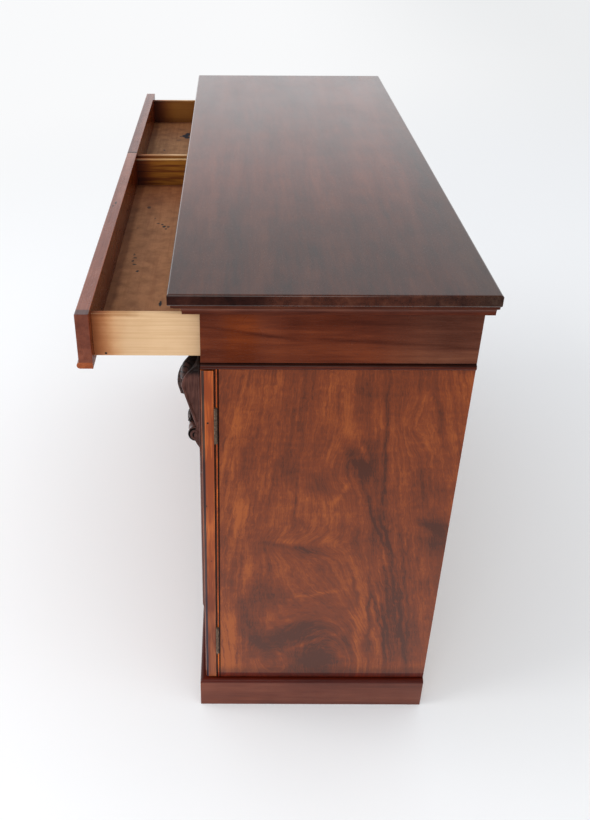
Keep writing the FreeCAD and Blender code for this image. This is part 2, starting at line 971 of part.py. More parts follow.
def leaf_outline(half_width, notch_half_widths, lobe_bulge, top_drop, tip_drop):
    """Prism of a leaf as seen from the front: round lobes between notches, down to its tip."""
    reach = corbel_projection + leaf_relief + overrun
    lobe_count = len(notch_half_widths) + 1
    pitch = (tip_drop - top_drop) / lobe_count
    here = on_corbel(corbel_middle + half_width, 0, top_drop)
    steps = [on_corbel(corbel_middle, 0, top_drop), here]
    for index, half in enumerate(tuple(notch_half_widths) + (0,)):
        notch = on_corbel(corbel_middle + half, 0, top_drop + pitch * (index + 1))
        outward = (notch - here).cross(Y_AXIS).normalize() * lobe_bulge
        steps.append(((here + notch) * 0.5 + outward, notch))
        here = notch
    half_leaf = extruded(steps, Y_AXIS * -reach)
    twin = half_leaf.mirror(point(corbel_middle, 0, 0), X_AXIS)
    return half_leaf.fuse(twin).removeSplitter()


def corbel_leaf():
    """Large leaf that rolls over the crown and curls out at its tip."""
    x = corbel_left
    reach = corbel_projection + leaf_relief
    tip_top = leaf_tip_drop - leaf_tip_thickness
    start = on_corbel(x, 0, 0)
    crest = on_corbel(x, reach, corbel_crown_drop + side_margin)
    tip = on_corbel(x, reach - leaf_tip_thickness, leaf_tip_drop)
    under = on_corbel(x, taper_at(tip_top), tip_top)
    steps = [
        start,
        bowed(start, crest, reach / 4),
        bowed(crest, tip, leaf_tip_thickness / 2),
        under,
        on_corbel(x, 0, tip_top),
    ]
    band = extruded(steps, X_AXIS * corbel_width)
    return band.common(
        leaf_outline(leaf_half_width, leaf_notch_half_widths, leaf_lobe_bulge, 0, leaf_tip_drop)
    )


def corbel_small_leaf():
    """Small leaf that stands off the taper above the volute and curls over."""
    x = corbel_left
    start = on_corbel(x, taper_at(small_leaf_top_drop), small_leaf_top_drop)
    curl = on_corbel(x, small_leaf_projection, small_leaf_curl_drop)
    tip = on_corbel(x, small_leaf_projection - leaf_tip_thickness, small_leaf_tip_drop)
    steps = [
        start,
        bowed(start, curl, leaf_tip_thickness / 2),
        bowed(curl, tip, leaf_tip_thickness / 4),
        on_corbel(x, 0, small_leaf_tip_drop),
        on_corbel(x, 0, small_leaf_top_drop),
    ]
    band = extruded(steps, X_AXIS * corbel_width)
    return band.common(
        leaf_outline(
            small_leaf_half_width,
            small_leaf_notch_half_widths,
            small_leaf_lobe_bulge,
            small_leaf_top_drop - overrun,
            small_leaf_tip_drop,
        )
    )


def corbel_plate():
    """Thin plate behind the corbel, drawn in to a rounded foot."""
    left = corbel_left - corbel_plate_margin
    right = corbel_right + corbel_plate_margin
    neck = door_top - corbel_length
    foot = door_top - corbel_plate_length
    half_foot = corbel_plate_foot_width / 2
    shoulder_left = point(left, door_face, neck)
    shoulder_right = point(right, door_face, neck)
    foot_left = point(corbel_middle - half_foot, door_face, foot + half_foot)
    foot_right = point(corbel_middle + half_foot, door_face, foot + half_foot)
    steps = [
        point(left, door_face, door_top),
        point(right, door_face, door_top),
        shoulder_right,
        quarter(shoulder_right, foot_right, point(foot_right.x, door_face, neck)),
        (point(corbel_middle, door_face, foot), foot_left),
        quarter(foot_left, shoulder_left, point(foot_left.x, door_face, neck)),
    ]
    return extruded(steps, Y_AXIS * -corbel_plate_thickness)


def volute_eye():
    """Round eye that stands proud of both flanks in the middle of the volute."""
    start = on_corbel(
        corbel_left - volute_eye_height, volute_projection, corbel_neck_drop + volute_radius
    )
    return rod(volute_eye_radius, start, X_AXIS, corbel_width + 2 * volute_eye_height)


def corbel():
    """Carved corbel of the right-hand door, one piece with its plate."""
    sinkings = [
        corbel_sinking(corbel_left - overrun),
        corbel_sinking(corbel_right - side_sinking),
    ]
    block = without(corbel_body(), sinkings)
    return joined([block, corbel_plate(), corbel_leaf(), corbel_small_leaf(), volute_eye()])


# ---------------------------------------------------------------- hinges


def knuckle_spans(low, parity, margin):
    """Heights of every second knuckle of a hinge, each longer by margin at both ends."""
    pitch = hinge_length / hinge_knuckle_count
    return [
        (low + index * pitch - margin, low + (index + 1) * pitch + margin)
        for index in range(parity, hinge_knuckle_count, 2)
    ]


def hinge_leaf(low, parity, y_span, pin):
    """Hinge leaf with its knuckles; the case leaf also holds the pin."""
    plate = board((hinge_leaf_edge, hinge_x), y_span, (low, low + hinge_length))
    knuckles = [
        rod(hinge_knuckle_radius, point(hinge_x, hinge_y, bottom), Z_AXIS, top - bottom)
        for bottom, top in knuckle_spans(low, parity, -hinge_end_clearance * parity)
    ]
    room = hinge_knuckle_radius + hinge_knuckle_clearance
    notches = [
        board((hinge_x - room, hinge_x + room), (hinge_y - room, hinge_y + room), z_span)
        for z_span in knuckle_spans(low, 1 - parity, hinge_end_clearance * parity)
    ]
    leaf = joined([without(plate, notches)] + knuckles)
    start = point(hinge_x, hinge_y, low)
    if pin:
        return joined([leaf, rod(hinge_pin_radius, start, Z_AXIS, hinge_length)])
    bore = hinge_pin_radius + hinge_pin_clearance
    passage = rod(bore, start - Z_AXIS * overrun, Z_AXIS, hinge_length + 2 * overrun)
    return leaf.cut(passage)


# ---------------------------------------------------------------- lock and bolt


def lock_spans():
    """Return the outside of the lock case as three spans."""
    start = door_start + lock_edge_gap
    return (
        (start, start + lock_length),
        (door_back, door_back + lock_thickness),
        (lock_centre - lock_height / 2, lock_centre + lock_height / 2),
    )


def lock_bolt_spans(clearance):
    """Return the bolt, or with a clearance the channel that it runs in."""
    start = door_start + lock_edge_gap
    low_y = door_back + lock_wall + lock_clearance
    low_z = lock_centre - lock_bolt_height / 2
    return (
        (start, start + lock_bolt_length + clearance),
        (low_y - clearance, low_y + lock_bolt_thickness + clearance),
        (low_z - clearance, low_z + lock_bolt_height + clearance),
    )


def keyhole(y_start, y_end):
    """Keyhole from y_start to y_end: round above, slot below."""
    eye = point(keyhole_offset, y_start, lock_centre)
    round_part = rod(keyhole_radius, eye, Y_AXIS, y_end - y_start)
    half = keyhole_slot_width / 2
    slot = board(
        (keyhole_offset - half, keyhole_offset + half),
        (y_start, y_end),
        (lock_centre - keyhole_slot, lock_centre),
    )
    return round_part.fuse(slot)


def escutcheon():
    """Oval key plate on the face of the right-hand door."""
    half = escutcheon_width / 2
    low = lock_centre - keyhole_slot / 2 - escutcheon_height / 2 + half
    high = lock_centre - keyhole_slot / 2 + escutcheon_height / 2 - half
    front = door_face - escutcheon_thickness
    steps = [
        point(keyhole_offset - half, front, low),
        (
            point(keyhole_offset, front, low - half),
            point(keyhole_offset + half, front, low),
        ),
        point(keyhole_offset + half, front, high),
        (
            point(keyhole_offset, front, high + half),
            point(keyhole_offset - half, front, high),
        ),
    ]
    plate = extruded(steps, point(0, escutcheon_thickness, 0))
    return plate.cut(keyhole(front - overrun, door_face + overrun))


def slide_bolt():
    """Round bolt of the left-hand door with its finger knob."""
    shank = rod(slide_radius, point(slide_x, slide_y, slide_low), Z_AXIS, slide_length)
    knob = rod(
        slide_knob_radius,
        point(slide_x, slide_y, slide_low + slide_length / 2),
        Y_AXIS,
        slide_radius + slide_knob_length,
    )
    return joined([shank, knob])


def slide_guide():
    """Plate on the back of the left-hand door, with two staples round the bolt."""
    low = slide_low + slide_plate_margin
    high = slide_low + slide_length - slide_plate_margin
    half = slide_plate_width / 2
    plate_back = door_back + slide_plate_thickness
    pieces = [board((slide_x - half, slide_x + half), (door_back, plate_back), (low, high))]
    outer = slide_radius + slide_bore_clearance + slide_staple_wall
    for bottom in (low, high - slide_staple_height):
        pieces.append(
            board(
                (slide_x - outer, slide_x + outer),
                (door_back, slide_y + outer),
                (bottom, bottom + slide_staple_height),
            )
        )
    start = point(slide_x, slide_y, low - overrun)
    bore = rod(slide_radius + slide_bore_clearance, start, Z_AXIS, high - low + 2 * overrun)
    return joined(pieces).cut(bore)


# ---------------------------------------------------------------- assembly

keep("top_board", top_board())
cove_front, cove_end = mitred_pair(
    cove_section, case_end, drawer_face, top_depth / 2 - moulding_back_gap
)
keep("top_moulding_front", cove_front)
keep_pair("top_moulding", cove_end)
keep("top_rail", top_rail())

keep_pair("frieze_side", frieze_side())
keep_pair("frieze_bead", bead_strip())
keep_pair("case_side", case_side())
keep("bottom_board", bottom_board())
keep("back_boards", back_boards())
keep("shelf", shelf())
keep("shelf_bearers", shelf_bearers())

plinth_front, plinth_side = mitred_pair(plinth_section, plinth_end, plinth_face, case_back)
keep("plinth_front", plinth_front)
keep_pair("plinth_side", plinth_side)
keep("plinth_bearers", plinth_bearers())

keep("drawer_rail", drawer_rail())
keep("drawer_partition", drawer_partition())
keep("drawer_runners", drawer_runners())
keep("drawer_kickers", drawer_kickers())

front_outer = case_end - drawer_end_gap
meeting_half = drawer_meeting_gap / 2
drawer(
    "drawer_right",
    (partition_offset + meeting_half, front_outer),
    (partition_right, case_inner),
)
drawer(
    "drawer_left",
    (-front_outer, partition_offset - meeting_half),
    (-case_inner, partition_left),
)

low_tenon, high_tenon = tenon_spans()
keep_pair("door_outer_stile", outer_stile())
keyed_stile = meeting_stile().cut(keyhole(door_face - overrun, door_back + overrun))
keep("door_meeting_stile_right", keyed_stile)
keep("door_meeting_stile_left", mirrored(meeting_stile()))
keep_pair(
    "door_bottom_rail",
    door_rail(
        (door_bottom, opening_low), (opening_low - groove_depth, opening_low + overrun), low_tenon
    ),
)
keep_pair(
    "door_top_rail",
    door_rail(
        (opening_high, door_top), (opening_high - overrun, opening_high + groove_depth), high_tenon
    ),
)
keep_pair("door_panel", door_panel())
keep_pair("door_panel_moulding", panel_moulding())
keep_pair("door_corbel", corbel())

case_leaf_span = (hinge_y + hinge_leaf_gap / 2, hinge_leaf_back)
door_leaf_span = (door_back, door_back + hinge_leaf_thickness)
keep_pair("hinge_case_leaves", [hinge_leaf(low, 0, case_leaf_span, True) for low in hinge_lows])
keep_pair("hinge_door_leaves", [hinge_leaf(low, 1, door_leaf_span, False) for low in hinge_lows])

lock_case = board(*lock_spans()).cut(board(*lock_bolt_spans(lock_clearance)))
keep("lock_case", lock_case.cut(keyhole(door_back - overrun, door_back + lock_wall)))
keep("lock_bolt", board(*lock_bolt_spans(0)))
keep("escutcheon", escutcheon())
keep("slide_bolt", slide_bolt())
keep("slide_guide", slide_guide())

os.makedirs("parts", exist_ok=True)
for name, shape in nodes.items():
    shape.exportStep("parts/%s.step" % name)
print(len(nodes), "nodes")
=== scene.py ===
"""Looks of a mahogany chiffonier, built round its packed construction model.

Lengths are in metres where nothing else is said, and every place is in the frame of the
construction model: +X to the right hand of somebody facing the doors, the doors face -Y, +Z is up
and the floor is at z = 0.  Boards and fittings keep their construction nodes, softened and dressed
here.  The carved corbels and the small fastenings are worked out as surfaces of their own.
"""

from __future__ import annotations

import logging
import math
from dataclasses import dataclass, field, replace
from enum import Enum
from typing import Any, Mapping, Sequence

import bmesh
import bpy
import numpy as np
from mathutils import Matrix, Vector


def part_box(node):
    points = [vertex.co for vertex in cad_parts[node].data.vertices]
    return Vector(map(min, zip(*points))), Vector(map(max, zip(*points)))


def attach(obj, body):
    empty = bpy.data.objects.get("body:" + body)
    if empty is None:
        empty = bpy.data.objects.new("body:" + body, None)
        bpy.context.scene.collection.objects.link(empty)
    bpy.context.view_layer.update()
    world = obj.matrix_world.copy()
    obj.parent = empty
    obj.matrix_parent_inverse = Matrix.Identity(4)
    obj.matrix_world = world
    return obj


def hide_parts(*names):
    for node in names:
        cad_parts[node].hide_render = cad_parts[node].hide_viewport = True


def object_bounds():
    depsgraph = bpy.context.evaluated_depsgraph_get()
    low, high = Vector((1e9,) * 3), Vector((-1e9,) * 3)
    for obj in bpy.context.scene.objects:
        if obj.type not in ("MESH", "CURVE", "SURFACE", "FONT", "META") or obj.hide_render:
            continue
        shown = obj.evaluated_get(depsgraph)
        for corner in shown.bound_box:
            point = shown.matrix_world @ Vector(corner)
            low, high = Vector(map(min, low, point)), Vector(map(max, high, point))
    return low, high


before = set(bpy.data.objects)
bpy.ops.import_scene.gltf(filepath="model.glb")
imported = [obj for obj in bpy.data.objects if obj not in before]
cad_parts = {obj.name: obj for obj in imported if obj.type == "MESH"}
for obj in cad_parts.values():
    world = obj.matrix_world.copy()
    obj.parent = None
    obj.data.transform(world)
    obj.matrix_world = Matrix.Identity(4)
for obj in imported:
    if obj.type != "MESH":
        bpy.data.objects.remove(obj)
frame_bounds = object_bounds()

log = logging.getLogger("chiffonier")

Colour = tuple[float, float, float]
Point = tuple[float, float, float]
Row = tuple[float, ...]
Socket = bpy.types.NodeSocket
Material = bpy.types.Material
MM = 0.001


# ---------------------------------------------------------------- shader arithmetic


class Value:
    """A number that varies over a surface; arithmetic on it adds Math nodes."""

    def __init__(self, graph: Graph, socket: Socket) -> None:
        """Wrap one output socket of a graph."""
        self.graph = graph
        self.socket = socket

    def __add__(self, other: Number) -> Value:
        """Return the sum."""
        return self.graph.math("ADD", self, other)

    def __radd__(self, other: Number) -> Value:
        """Return the sum with a plain number in front."""
        return self.graph.math("ADD", other, self)

    def __sub__(self, other: Number) -> Value:
        """Return the difference."""
        return self.graph.math("SUBTRACT", self, other)

    def __rsub__(self, other: Number) -> Value:
        """Return the difference from a plain number."""
        return self.graph.math("SUBTRACT", other, self)

    def __mul__(self, other: Number) -> Value:
        """Return the product."""
        return self.graph.math("MULTIPLY", self, other)

    def __rmul__(self, other: Number) -> Value:
        """Return the product with a plain number in front."""
        return self.graph.math("MULTIPLY", other, self)

    def __truediv__(self, other: Number) -> Value:
        """Return the quotient."""
        return self.graph.math("DIVIDE", self, other)

    def __rtruediv__(self, other: Number) -> Value:
        """Return a plain number divided by this one."""
        return self.graph.math("DIVIDE", other, self)

    def least(self, other: Number) -> Value:
        """Return the smaller of two numbers."""
        return self.graph.math("MINIMUM", self, other)

    def most(self, other: Number) -> Value:
        """Return the larger of two numbers."""
        return self.graph.math("MAXIMUM", self, other)

    def size(self) -> Value:
        """Return the number without its sign."""
        return self.graph.math("ABSOLUTE", self)


Number = Value | float


class Graph:
    """The node tree of one material, with short ways to write a finish down."""

    def __init__(self, name: str, world: bpy.types.World | None = None) -> None:
        """Make an empty material of that name, or empty the world that is given.

        Args:
            name: Name of the material.
            world: The world, where the graph is the sky's.
        """
        self.material = world or bpy.data.materials.new(name)
        self.material.use_nodes = True
        self.tree = self.material.node_tree
        self.tree.nodes.clear()
        self.place = self.node("ShaderNodeTexCoord").outputs["Object"]
        self.x, self.y, self.z = self.split(self.place)

    def node(
        self,
        kind: str,
        settings: Mapping[str, Any] | None = None,
        sockets: Mapping[str, Any] | None = None,
    ) -> bpy.types.Node:
        """Add a node.

        Args:
            kind: The node's type.
            settings: Properties to set first; "stops" is a ramp's list of (place, colour).
            sockets: Input identifiers with their numbers, vectors, colours or links.

        Returns:
            The new node.
        """
        node = self.tree.nodes.new(kind)
        for key, setting in (settings or {}).items():
            if key == "stops":
                self._set_stops(node.color_ramp, setting)
            else:
                setattr(node, key, setting)
        inputs = {socket.identifier: socket for socket in node.inputs}
        for key, given in (sockets or {}).items():
            source = given.socket if isinstance(given, Value) else given
            if isinstance(source, Socket):
                self.tree.links.new(source, inputs[key])
            else:
                inputs[key].default_value = source
        return node

    @staticmethod
    def _set_stops(ramp: bpy.types.ColorRamp, stops: Sequence[tuple[float, Colour]]) -> None:
        """Give a colour ramp its stops.

        Args:
            ramp: The ramp.
            stops: Places with their colours, in rising order.
        """
        while len(ramp.elements) < len(stops):
            ramp.elements.new(1.0)
        for element, (place, colour) in zip(ramp.elements, stops):
            element.position, element.color = place, (*colour, 1.0)

    def math(self, operation: str, *operands: Number) -> Value:
        """Return the result of a Math node on one or two numbers."""
        given = dict(zip(("Value", "Value_001"), operands))
        return Value(self, self.node("ShaderNodeMath", {"operation": operation}, given).outputs[0])

    def vector(self, operation: str, *operands: Any) -> bpy.types.Node:
        """Return a Vector Math node on two or three vectors."""
        sockets = dict(zip(("Vector", "Vector_001", "Vector_002"), operands))
        return self.node("ShaderNodeVectorMath", {"operation": operation}, sockets)

    def split(self, vector: Socket) -> tuple[Value, Value, Value]:
        """Return the three parts of a vector."""
        node = self.node("ShaderNodeSeparateXYZ", sockets={"Vector": vector})
        return tuple(Value(self, socket) for socket in node.outputs)

    def gather(self, x: Number, y: Number, z: Number) -> Socket:
        """Return a vector made of three numbers."""
        return self.node("ShaderNodeCombineXYZ", sockets={"X": x, "Y": y, "Z": z}).outputs[0]

    def stretch(
        self, vector: Socket, factors: Point = (1.0, 1.0, 1.0), offset: Point = (0.0, 0.0, 0.0)
    ) -> Socket:
        """Return a vector times factors plus an offset, axis by axis."""
        return self.vector("MULTIPLY_ADD", vector, factors, offset).outputs[0]

    def noise(self, vector: Socket, scale: float, detail: float, rough: float = 0.5) -> Value:
        """Return smooth noise from 0 to 1 with `scale` features a metre."""
        sockets = {"Vector": vector, "Scale": scale, "Detail": detail, "Roughness": rough}
        return Value(self, self.node("ShaderNodeTexNoise", sockets=sockets).outputs[0])

    def wander(
        self, vector: Socket, scale: float, reach: float, by: Socket | None = None
    ) -> Socket:
        """Let a vector stray by soft noise.

        Args:
            vector: The vector.
            scale: How many turns of its way a metre holds.
            reach: Twice the farthest that it strays, about.
            by: The place that says how it strays; the vector itself if left out.

        Returns:
            The link of the vector that strays.
        """
        sockets = {"Vector": by or vector, "Scale": scale, "Detail": 2.0}
        stray = self.node("ShaderNodeTexNoise", sockets=sockets).outputs[1]
        return self.vector("MULTIPLY_ADD", stray, (reach,) * 3, vector).outputs[0]

    def smooth(self, value: Value, low: float, high: float) -> Value:
        """Step smoothly from 0 at one number to 1 at another.

        Args:
            value: The number that varies.
            low: Where the step is still 0.
            high: Where the step is 1; it may be the lower of the two.

        Returns:
            The step.
        """
        sockets = {"Value": value, "From Min": low, "From Max": high}
        node = self.node("ShaderNodeMapRange", {"interpolation_type": "SMOOTHSTEP"}, sockets)
        return Value(self, node.outputs[0])

    def spot(self, vector: Socket, spot: Spot) -> Value:
        """Return a soft hill: e to the minus squared distance, in the spot's own lengths.

        Args:
            vector: Place on the surface.
            spot: The hill's middle, reach and turn.

        Returns:
            The hill's height, 1 in its middle.
        """
        sockets = {
            "Vector": vector,
            "Location": spot.centre,
            "Rotation": (math.radians(spot.turn), 0.0, 0.0),
            "Scale": spot.reach,
        }
        near = self.node("ShaderNodeMapping", {"vector_type": "TEXTURE"}, sockets).outputs[0]
        squared = Value(self, self.vector("DOT_PRODUCT", near, near).outputs["Value"])
        return self.math("EXPONENT", squared * -1.0)

    def ramp(self, value: Value, half: float, tones: Sequence[Colour]) -> Socket:
        """Return the colour for a number: the first tone at 0.5 - half, the last at 0.5 + half."""
        stops = tuple(zip((0.5 - half, 0.5, 0.5 + half), tones))
        return self.node("ShaderNodeValToRGB", {"stops": stops}, {"Fac": value}).outputs[0]

    def mix(self, share: Number, under: Any, over: Any, blend: str = "MIX") -> Socket:
        """Return a share of one colour laid over another.

        Args:
            share: How much of `over` shows, from 0 to 1.
            under: A colour or a colour link.
            over: A colour or a colour link.
            blend: The Mix node's blend type.

        Returns:
            The colour link.
        """
        layers = {
            key: (*layer, 1.0) if isinstance(layer, tuple) else layer
            for key, layer in (("A_Color", under), ("B_Color", over))
        }
        settings = {"data_type": "RGBA", "blend_type": blend, "clamp_factor": True}
        return self.node("ShaderNodeMix", settings, {"Factor_Float": share, **layers}).outputs[2]

    def near(self, board: Board, near: Near) -> Value:
        """Return 1 where a board is as near to one of its faces as `near` says, and 0 elsewhere.

        Args:
            board: The board; on a left-hand twin the inner and the outer face change places.
            near: The face and the distances from it.

        Returns:
            The mask.
        """
        axis, high = near.face.value
        twin = axis == 0 and board.node.endswith("_left")
        value = (self.x, self.y, self.z)[axis]
        far_face, near_face = float(board.high[axis]), float(board.low[axis])
        depth = far_face - value if high != twin else value - near_face
        if near.ragged:
            depth = depth + (self.noise(self.place, 30.0, 3.0, 0.6) - 0.5) * (near.ragged * MM)
        mask = self.smooth(depth, (near.end + near.fade) * MM, near.end * MM)
        if near.start:
            mask = mask * self.smooth(depth, (near.start - near.fade) * MM, near.start * MM)
        return mask

    def arris(self, board: Board, width: float) -> Value:
        """Return 1 on the arrises of a board and 0 from `width` inwards.

        Of the distances to the board's three pairs of faces one is nothing on the surface, so
        the middle one of the three is the distance to the nearest arris.

        Args:
            board: The board.
            width: How far the mask reaches from an arris.

        Returns:
            The mask.
        """
        near = [
            (value - float(a)).size().least((value - float(b)).size())
            for value, a, b in zip((self.x, self.y, self.z), board.low, board.high)
        ]
        middle = near[0].least(near[1]).most(near[0].most(near[1]).least(near[2]))
        return self.smooth(middle, width, 0.0)

    def surface(
        self,
        colour: Any,
        roughness: Number,
        gloss: Gloss,
        height: Value,
        metallic: Number = 0.0,
        coat: Number | None = None,
    ) -> Material:
        """Finish the material with one shader.

        Args:
            colour: Base colour or its link.
            roughness: Roughness from 0 to 1.
            gloss: The settings that are the same all over.
            height: Height of the relief, from 0 to 1.
            metallic: Share of metal.
            coat: Weight of the clear coat, if it varies.

        Returns:
            The material.
        """
        relief = {"Height": height, "Strength": gloss.relief, "Distance": gloss.relief_depth}
        sockets = {
            "Base Color": colour,
            "Roughness": roughness,
            "Metallic": metallic,
            "IOR": gloss.ior,
            "Coat Weight": gloss.coat if coat is None else coat,
            "Coat Roughness": gloss.coat_roughness,
            "Normal": self.node("ShaderNodeBump", sockets=relief).outputs[0],
        }
        shader = self.node("ShaderNodeBsdfPrincipled", sockets=sockets)
        self.node("ShaderNodeOutputMaterial", sockets={"Surface": shader.outputs[0]})
        return self.material


# ---------------------------------------------------------------- facts of the finishes


@dataclass(frozen=True)
class Spot:
    """A soft-edged place on a surface: a knot, a cloud in the figure, a drop of ink, a painted
    highlight.
    """

    centre: Point
    reach: Point
    turn: float = 0.0
    depth: float = 1.0


class Grain(Enum):
    """Axis along which a board's grain runs."""

    X = 0
    Y = 1
    Z = 2

    def stretched(self, along: float) -> Point:
        """Return factors that shorten the axis of the grain, which lengthens a pattern on it."""
        return tuple(along if axis == self.value else 1.0 for axis in range(3))


def spots(square_to: Grain, level: float, thick: float, *rows: Row) -> tuple[Spot, ...]:
    """Lay spots out on a face, all in millimetres.

    Args:
        square_to: The axis that the face is square to.
        level: Where the face is on that axis.
        thick: How far the spots reach along that axis.
        *rows: For each spot its place and its reach on the face's two axes, its turn in degrees
            and its depth.

    Returns:
        The spots.
    """
    laid = []
    for one, other, reach_one, reach_other, turn, depth in rows:
        centre, reach = [one, other], [reach_one, reach_other]
        centre.insert(square_to.value, level)
        reach.insert(square_to.value, thick)
        sizes = (tuple(size * MM for size in sizes) for sizes in (centre, reach))
        laid.append(Spot(*sizes, turn, depth))
    return tuple(laid)


class Face(Enum):
    """A face of a board: the axis that it is square to, and whether it is the high one.

    On a left-hand twin INNER and OUTER change places, so twins are dressed as mirror images.
    """

    INNER = (0, False)
    OUTER = (0, True)
    FRONT = (1, False)
    BACK = (1, True)
    BOTTOM = (2, False)
    TOP = (2, True)


@dataclass(frozen=True)
class Board:
    """The construction node that a finish is made for, and the shift of its figure."""

    node: str
    seed: float
    low: Vector
    high: Vector


@dataclass(frozen=True)
class Near:
    """Where a board lies between two distances from a face, fading past them; in millimetres."""

    face: Face
    end: float
    fade: float
    start: float = 0.0
    ragged: float = 0.0


@dataclass(frozen=True)
class StainAndPaintedLight:
    """A tint that multiplies the colour wherever all its places meet; some are real marks, others
    painted shade and painted highlights.
    """

    tint: Colour
    places: tuple[Near, ...]


@dataclass(frozen=True)
class Gloss:
    """Shader settings that are the same all over a surface."""

    ior: float = 1.5
    coat: float = 0.0
    coat_roughness: float = 0.1
    relief: float = 0.25
    relief_depth: float = 0.4 * MM


@dataclass(frozen=True, kw_only=True)
class Finish:
    """What all finishes share: their tones, tints near a board's faces for real marks and for
    painted shade and highlights, and small dark dots.
    """

    tones: tuple[Colour, ...]
    stains_and_painted_light: tuple[StainAndPaintedLight, ...] = ()
    dots: tuple[Spot, ...] = ()
    dot_colour: Colour = (0.010, 0.008, 0.008)
    dot_stray: float = 1.2 * MM

    def lay_stains_and_painted_light(self, graph: Graph, board: Board, colour: Socket) -> Socket:
        """Lay the tints of real marks and of painted shade and highlights, and the dots, over a
        colour.

        Args:
            graph: The material's graph.
            board: The board that is dressed.
            colour: Colour of the clean wood.

        Returns:
            The colour link.
        """
        for stain_and_light in self.stains_and_painted_light:
            share: Number = 1.0
            for near in stain_and_light.places:
                share = graph.near(board, near) * share
            colour = graph.mix(share, colour, stain_and_light.tint, "MULTIPLY")
        if self.dots:
            blot = graph.wander(graph.place, 260.0, self.dot_stray)
            for dot in self.dots:
                drop = graph.smooth(graph.spot(blot, dot), 0.25, 0.55) * dot.depth
                colour = graph.mix(drop, colour, self.dot_colour)
        return colour


@dataclass(frozen=True, kw_only=True)
class Polished(Finish):
    """Polished wood, with matt places; its tones are dark, middle and light."""

    matt: tuple[Near, ...] = ()

    def figured(
        self, graph: Graph, board: Board, tone: Value, half: float, pores: Value, worn: Value
    ) -> Socket:
        """Colour the figure, darken its pores, wear its arrises light and lay its tints of real
        marks and painted light over it.

        Args:
            graph: The material's graph.
            board: The board that is dressed.
            tone: The figure's tone, middling at 0.5.
            half: How far the tone goes from 0.5 to the dark and to the light.
            pores: How dark the pores are.
            worn: How light the arrises are.

        Returns:
            The colour link.
        """
        colour = graph.ramp(tone, half, self.tones)
        colour = graph.mix(pores, colour, self.tones[0])
        colour = graph.mix(worn, colour, self.tones[2])
        return self.lay_stains_and_painted_light(graph, board, colour)

    def polish(self, graph: Graph, board: Board, coat: Number) -> Number:
        """Take the clear coat off the matt places.

        Args:
            graph: The material's graph.
            board: The board that is dressed.
            coat: Weight of the coat elsewhere.

        Returns:
            The coat's weight.
        """
        for near in self.matt:
            coat = (1.0 - graph.near(board, near)) * coat
        return coat


@dataclass(frozen=True, kw_only=True)
class Mahogany(Polished):
    """Polished mahogany with straight figure."""

    grain: Grain
    gloss: Gloss = Gloss(coat=0.1, coat_roughness=0.12)
    roughness: float = 0.32
    contrast: float = 1.0
    arris_wear: float = 0.35
    along: float = 0.05
    bands: float = 26.0
    bloom: float = 0.0
    spots: tuple[Spot, ...] = ()

    def dress(self, board: Board) -> Material:
        """Make the material for one board.

        The tone is broad bands plus streaks a sixth as wide, lines a millimetre wide and a mottle
        across them.  Pores are the lowest values of a finer noise.  The polish is cloudy: its
        coat is thinner and thicker in patches, as `bloom` says.

        Args:
            board: The board.

        Returns:
            The material.
        """
        graph = Graph("finish_" + board.node)
        seed = board.seed
        shortened = graph.stretch(graph.place, self.grain.stretched(self.along))
        shifted = graph.stretch(shortened, offset=(seed, seed * 0.7, seed * 1.3))
        stray = graph.wander(shifted, 7.0, 0.016)
        broad = graph.noise(stray, self.bands, 2.0)
        streaks = graph.noise(stray, self.bands * 6.0, 3.0)
        lines = graph.noise(stray, 620.0, 2.0, 0.6)
        pores = graph.smooth(graph.noise(stray, 2300.0, 1.0), 0.36, 0.28)
        mottle = graph.noise(graph.stretch(graph.place, offset=(seed,) * 3), 19.0, 1.0)
        tone = broad * 0.62 + streaks * 0.38 + (mottle - 0.5) * 0.25 + (lines - 0.5) * 0.28
        for spot in self.spots:
            tone = tone + graph.spot(graph.place, spot) * spot.depth
        worn = graph.arris(board, 2.2 * MM) * graph.smooth(lines, 0.3, 0.7) * self.arris_wear
        half = 0.20 / self.contrast
        colour = self.figured(graph, board, tone, half, pores * 0.45, worn)
        rub = graph.noise(graph.place, 9.0, 3.0)
        roughness = self.roughness + (rub - 0.5) * 0.14 + pores * 0.12
        coat: Number = self.gloss.coat
        if self.bloom:
            long = graph.stretch(graph.place, self.grain.stretched(0.45))
            narrow = graph.noise(shortened, self.bands * 3.0, 2.0)
            patches = graph.noise(long, 11.0, 4.0, 0.6) * 0.7 + narrow * 0.3
            coat = ((patches - 0.5) * self.bloom + 1.0) * self.gloss.coat
        coat = self.polish(graph, board, coat)
        return graph.surface(colour, roughness, self.gloss, lines * 0.35 - pores * 0.5, coat=coat)


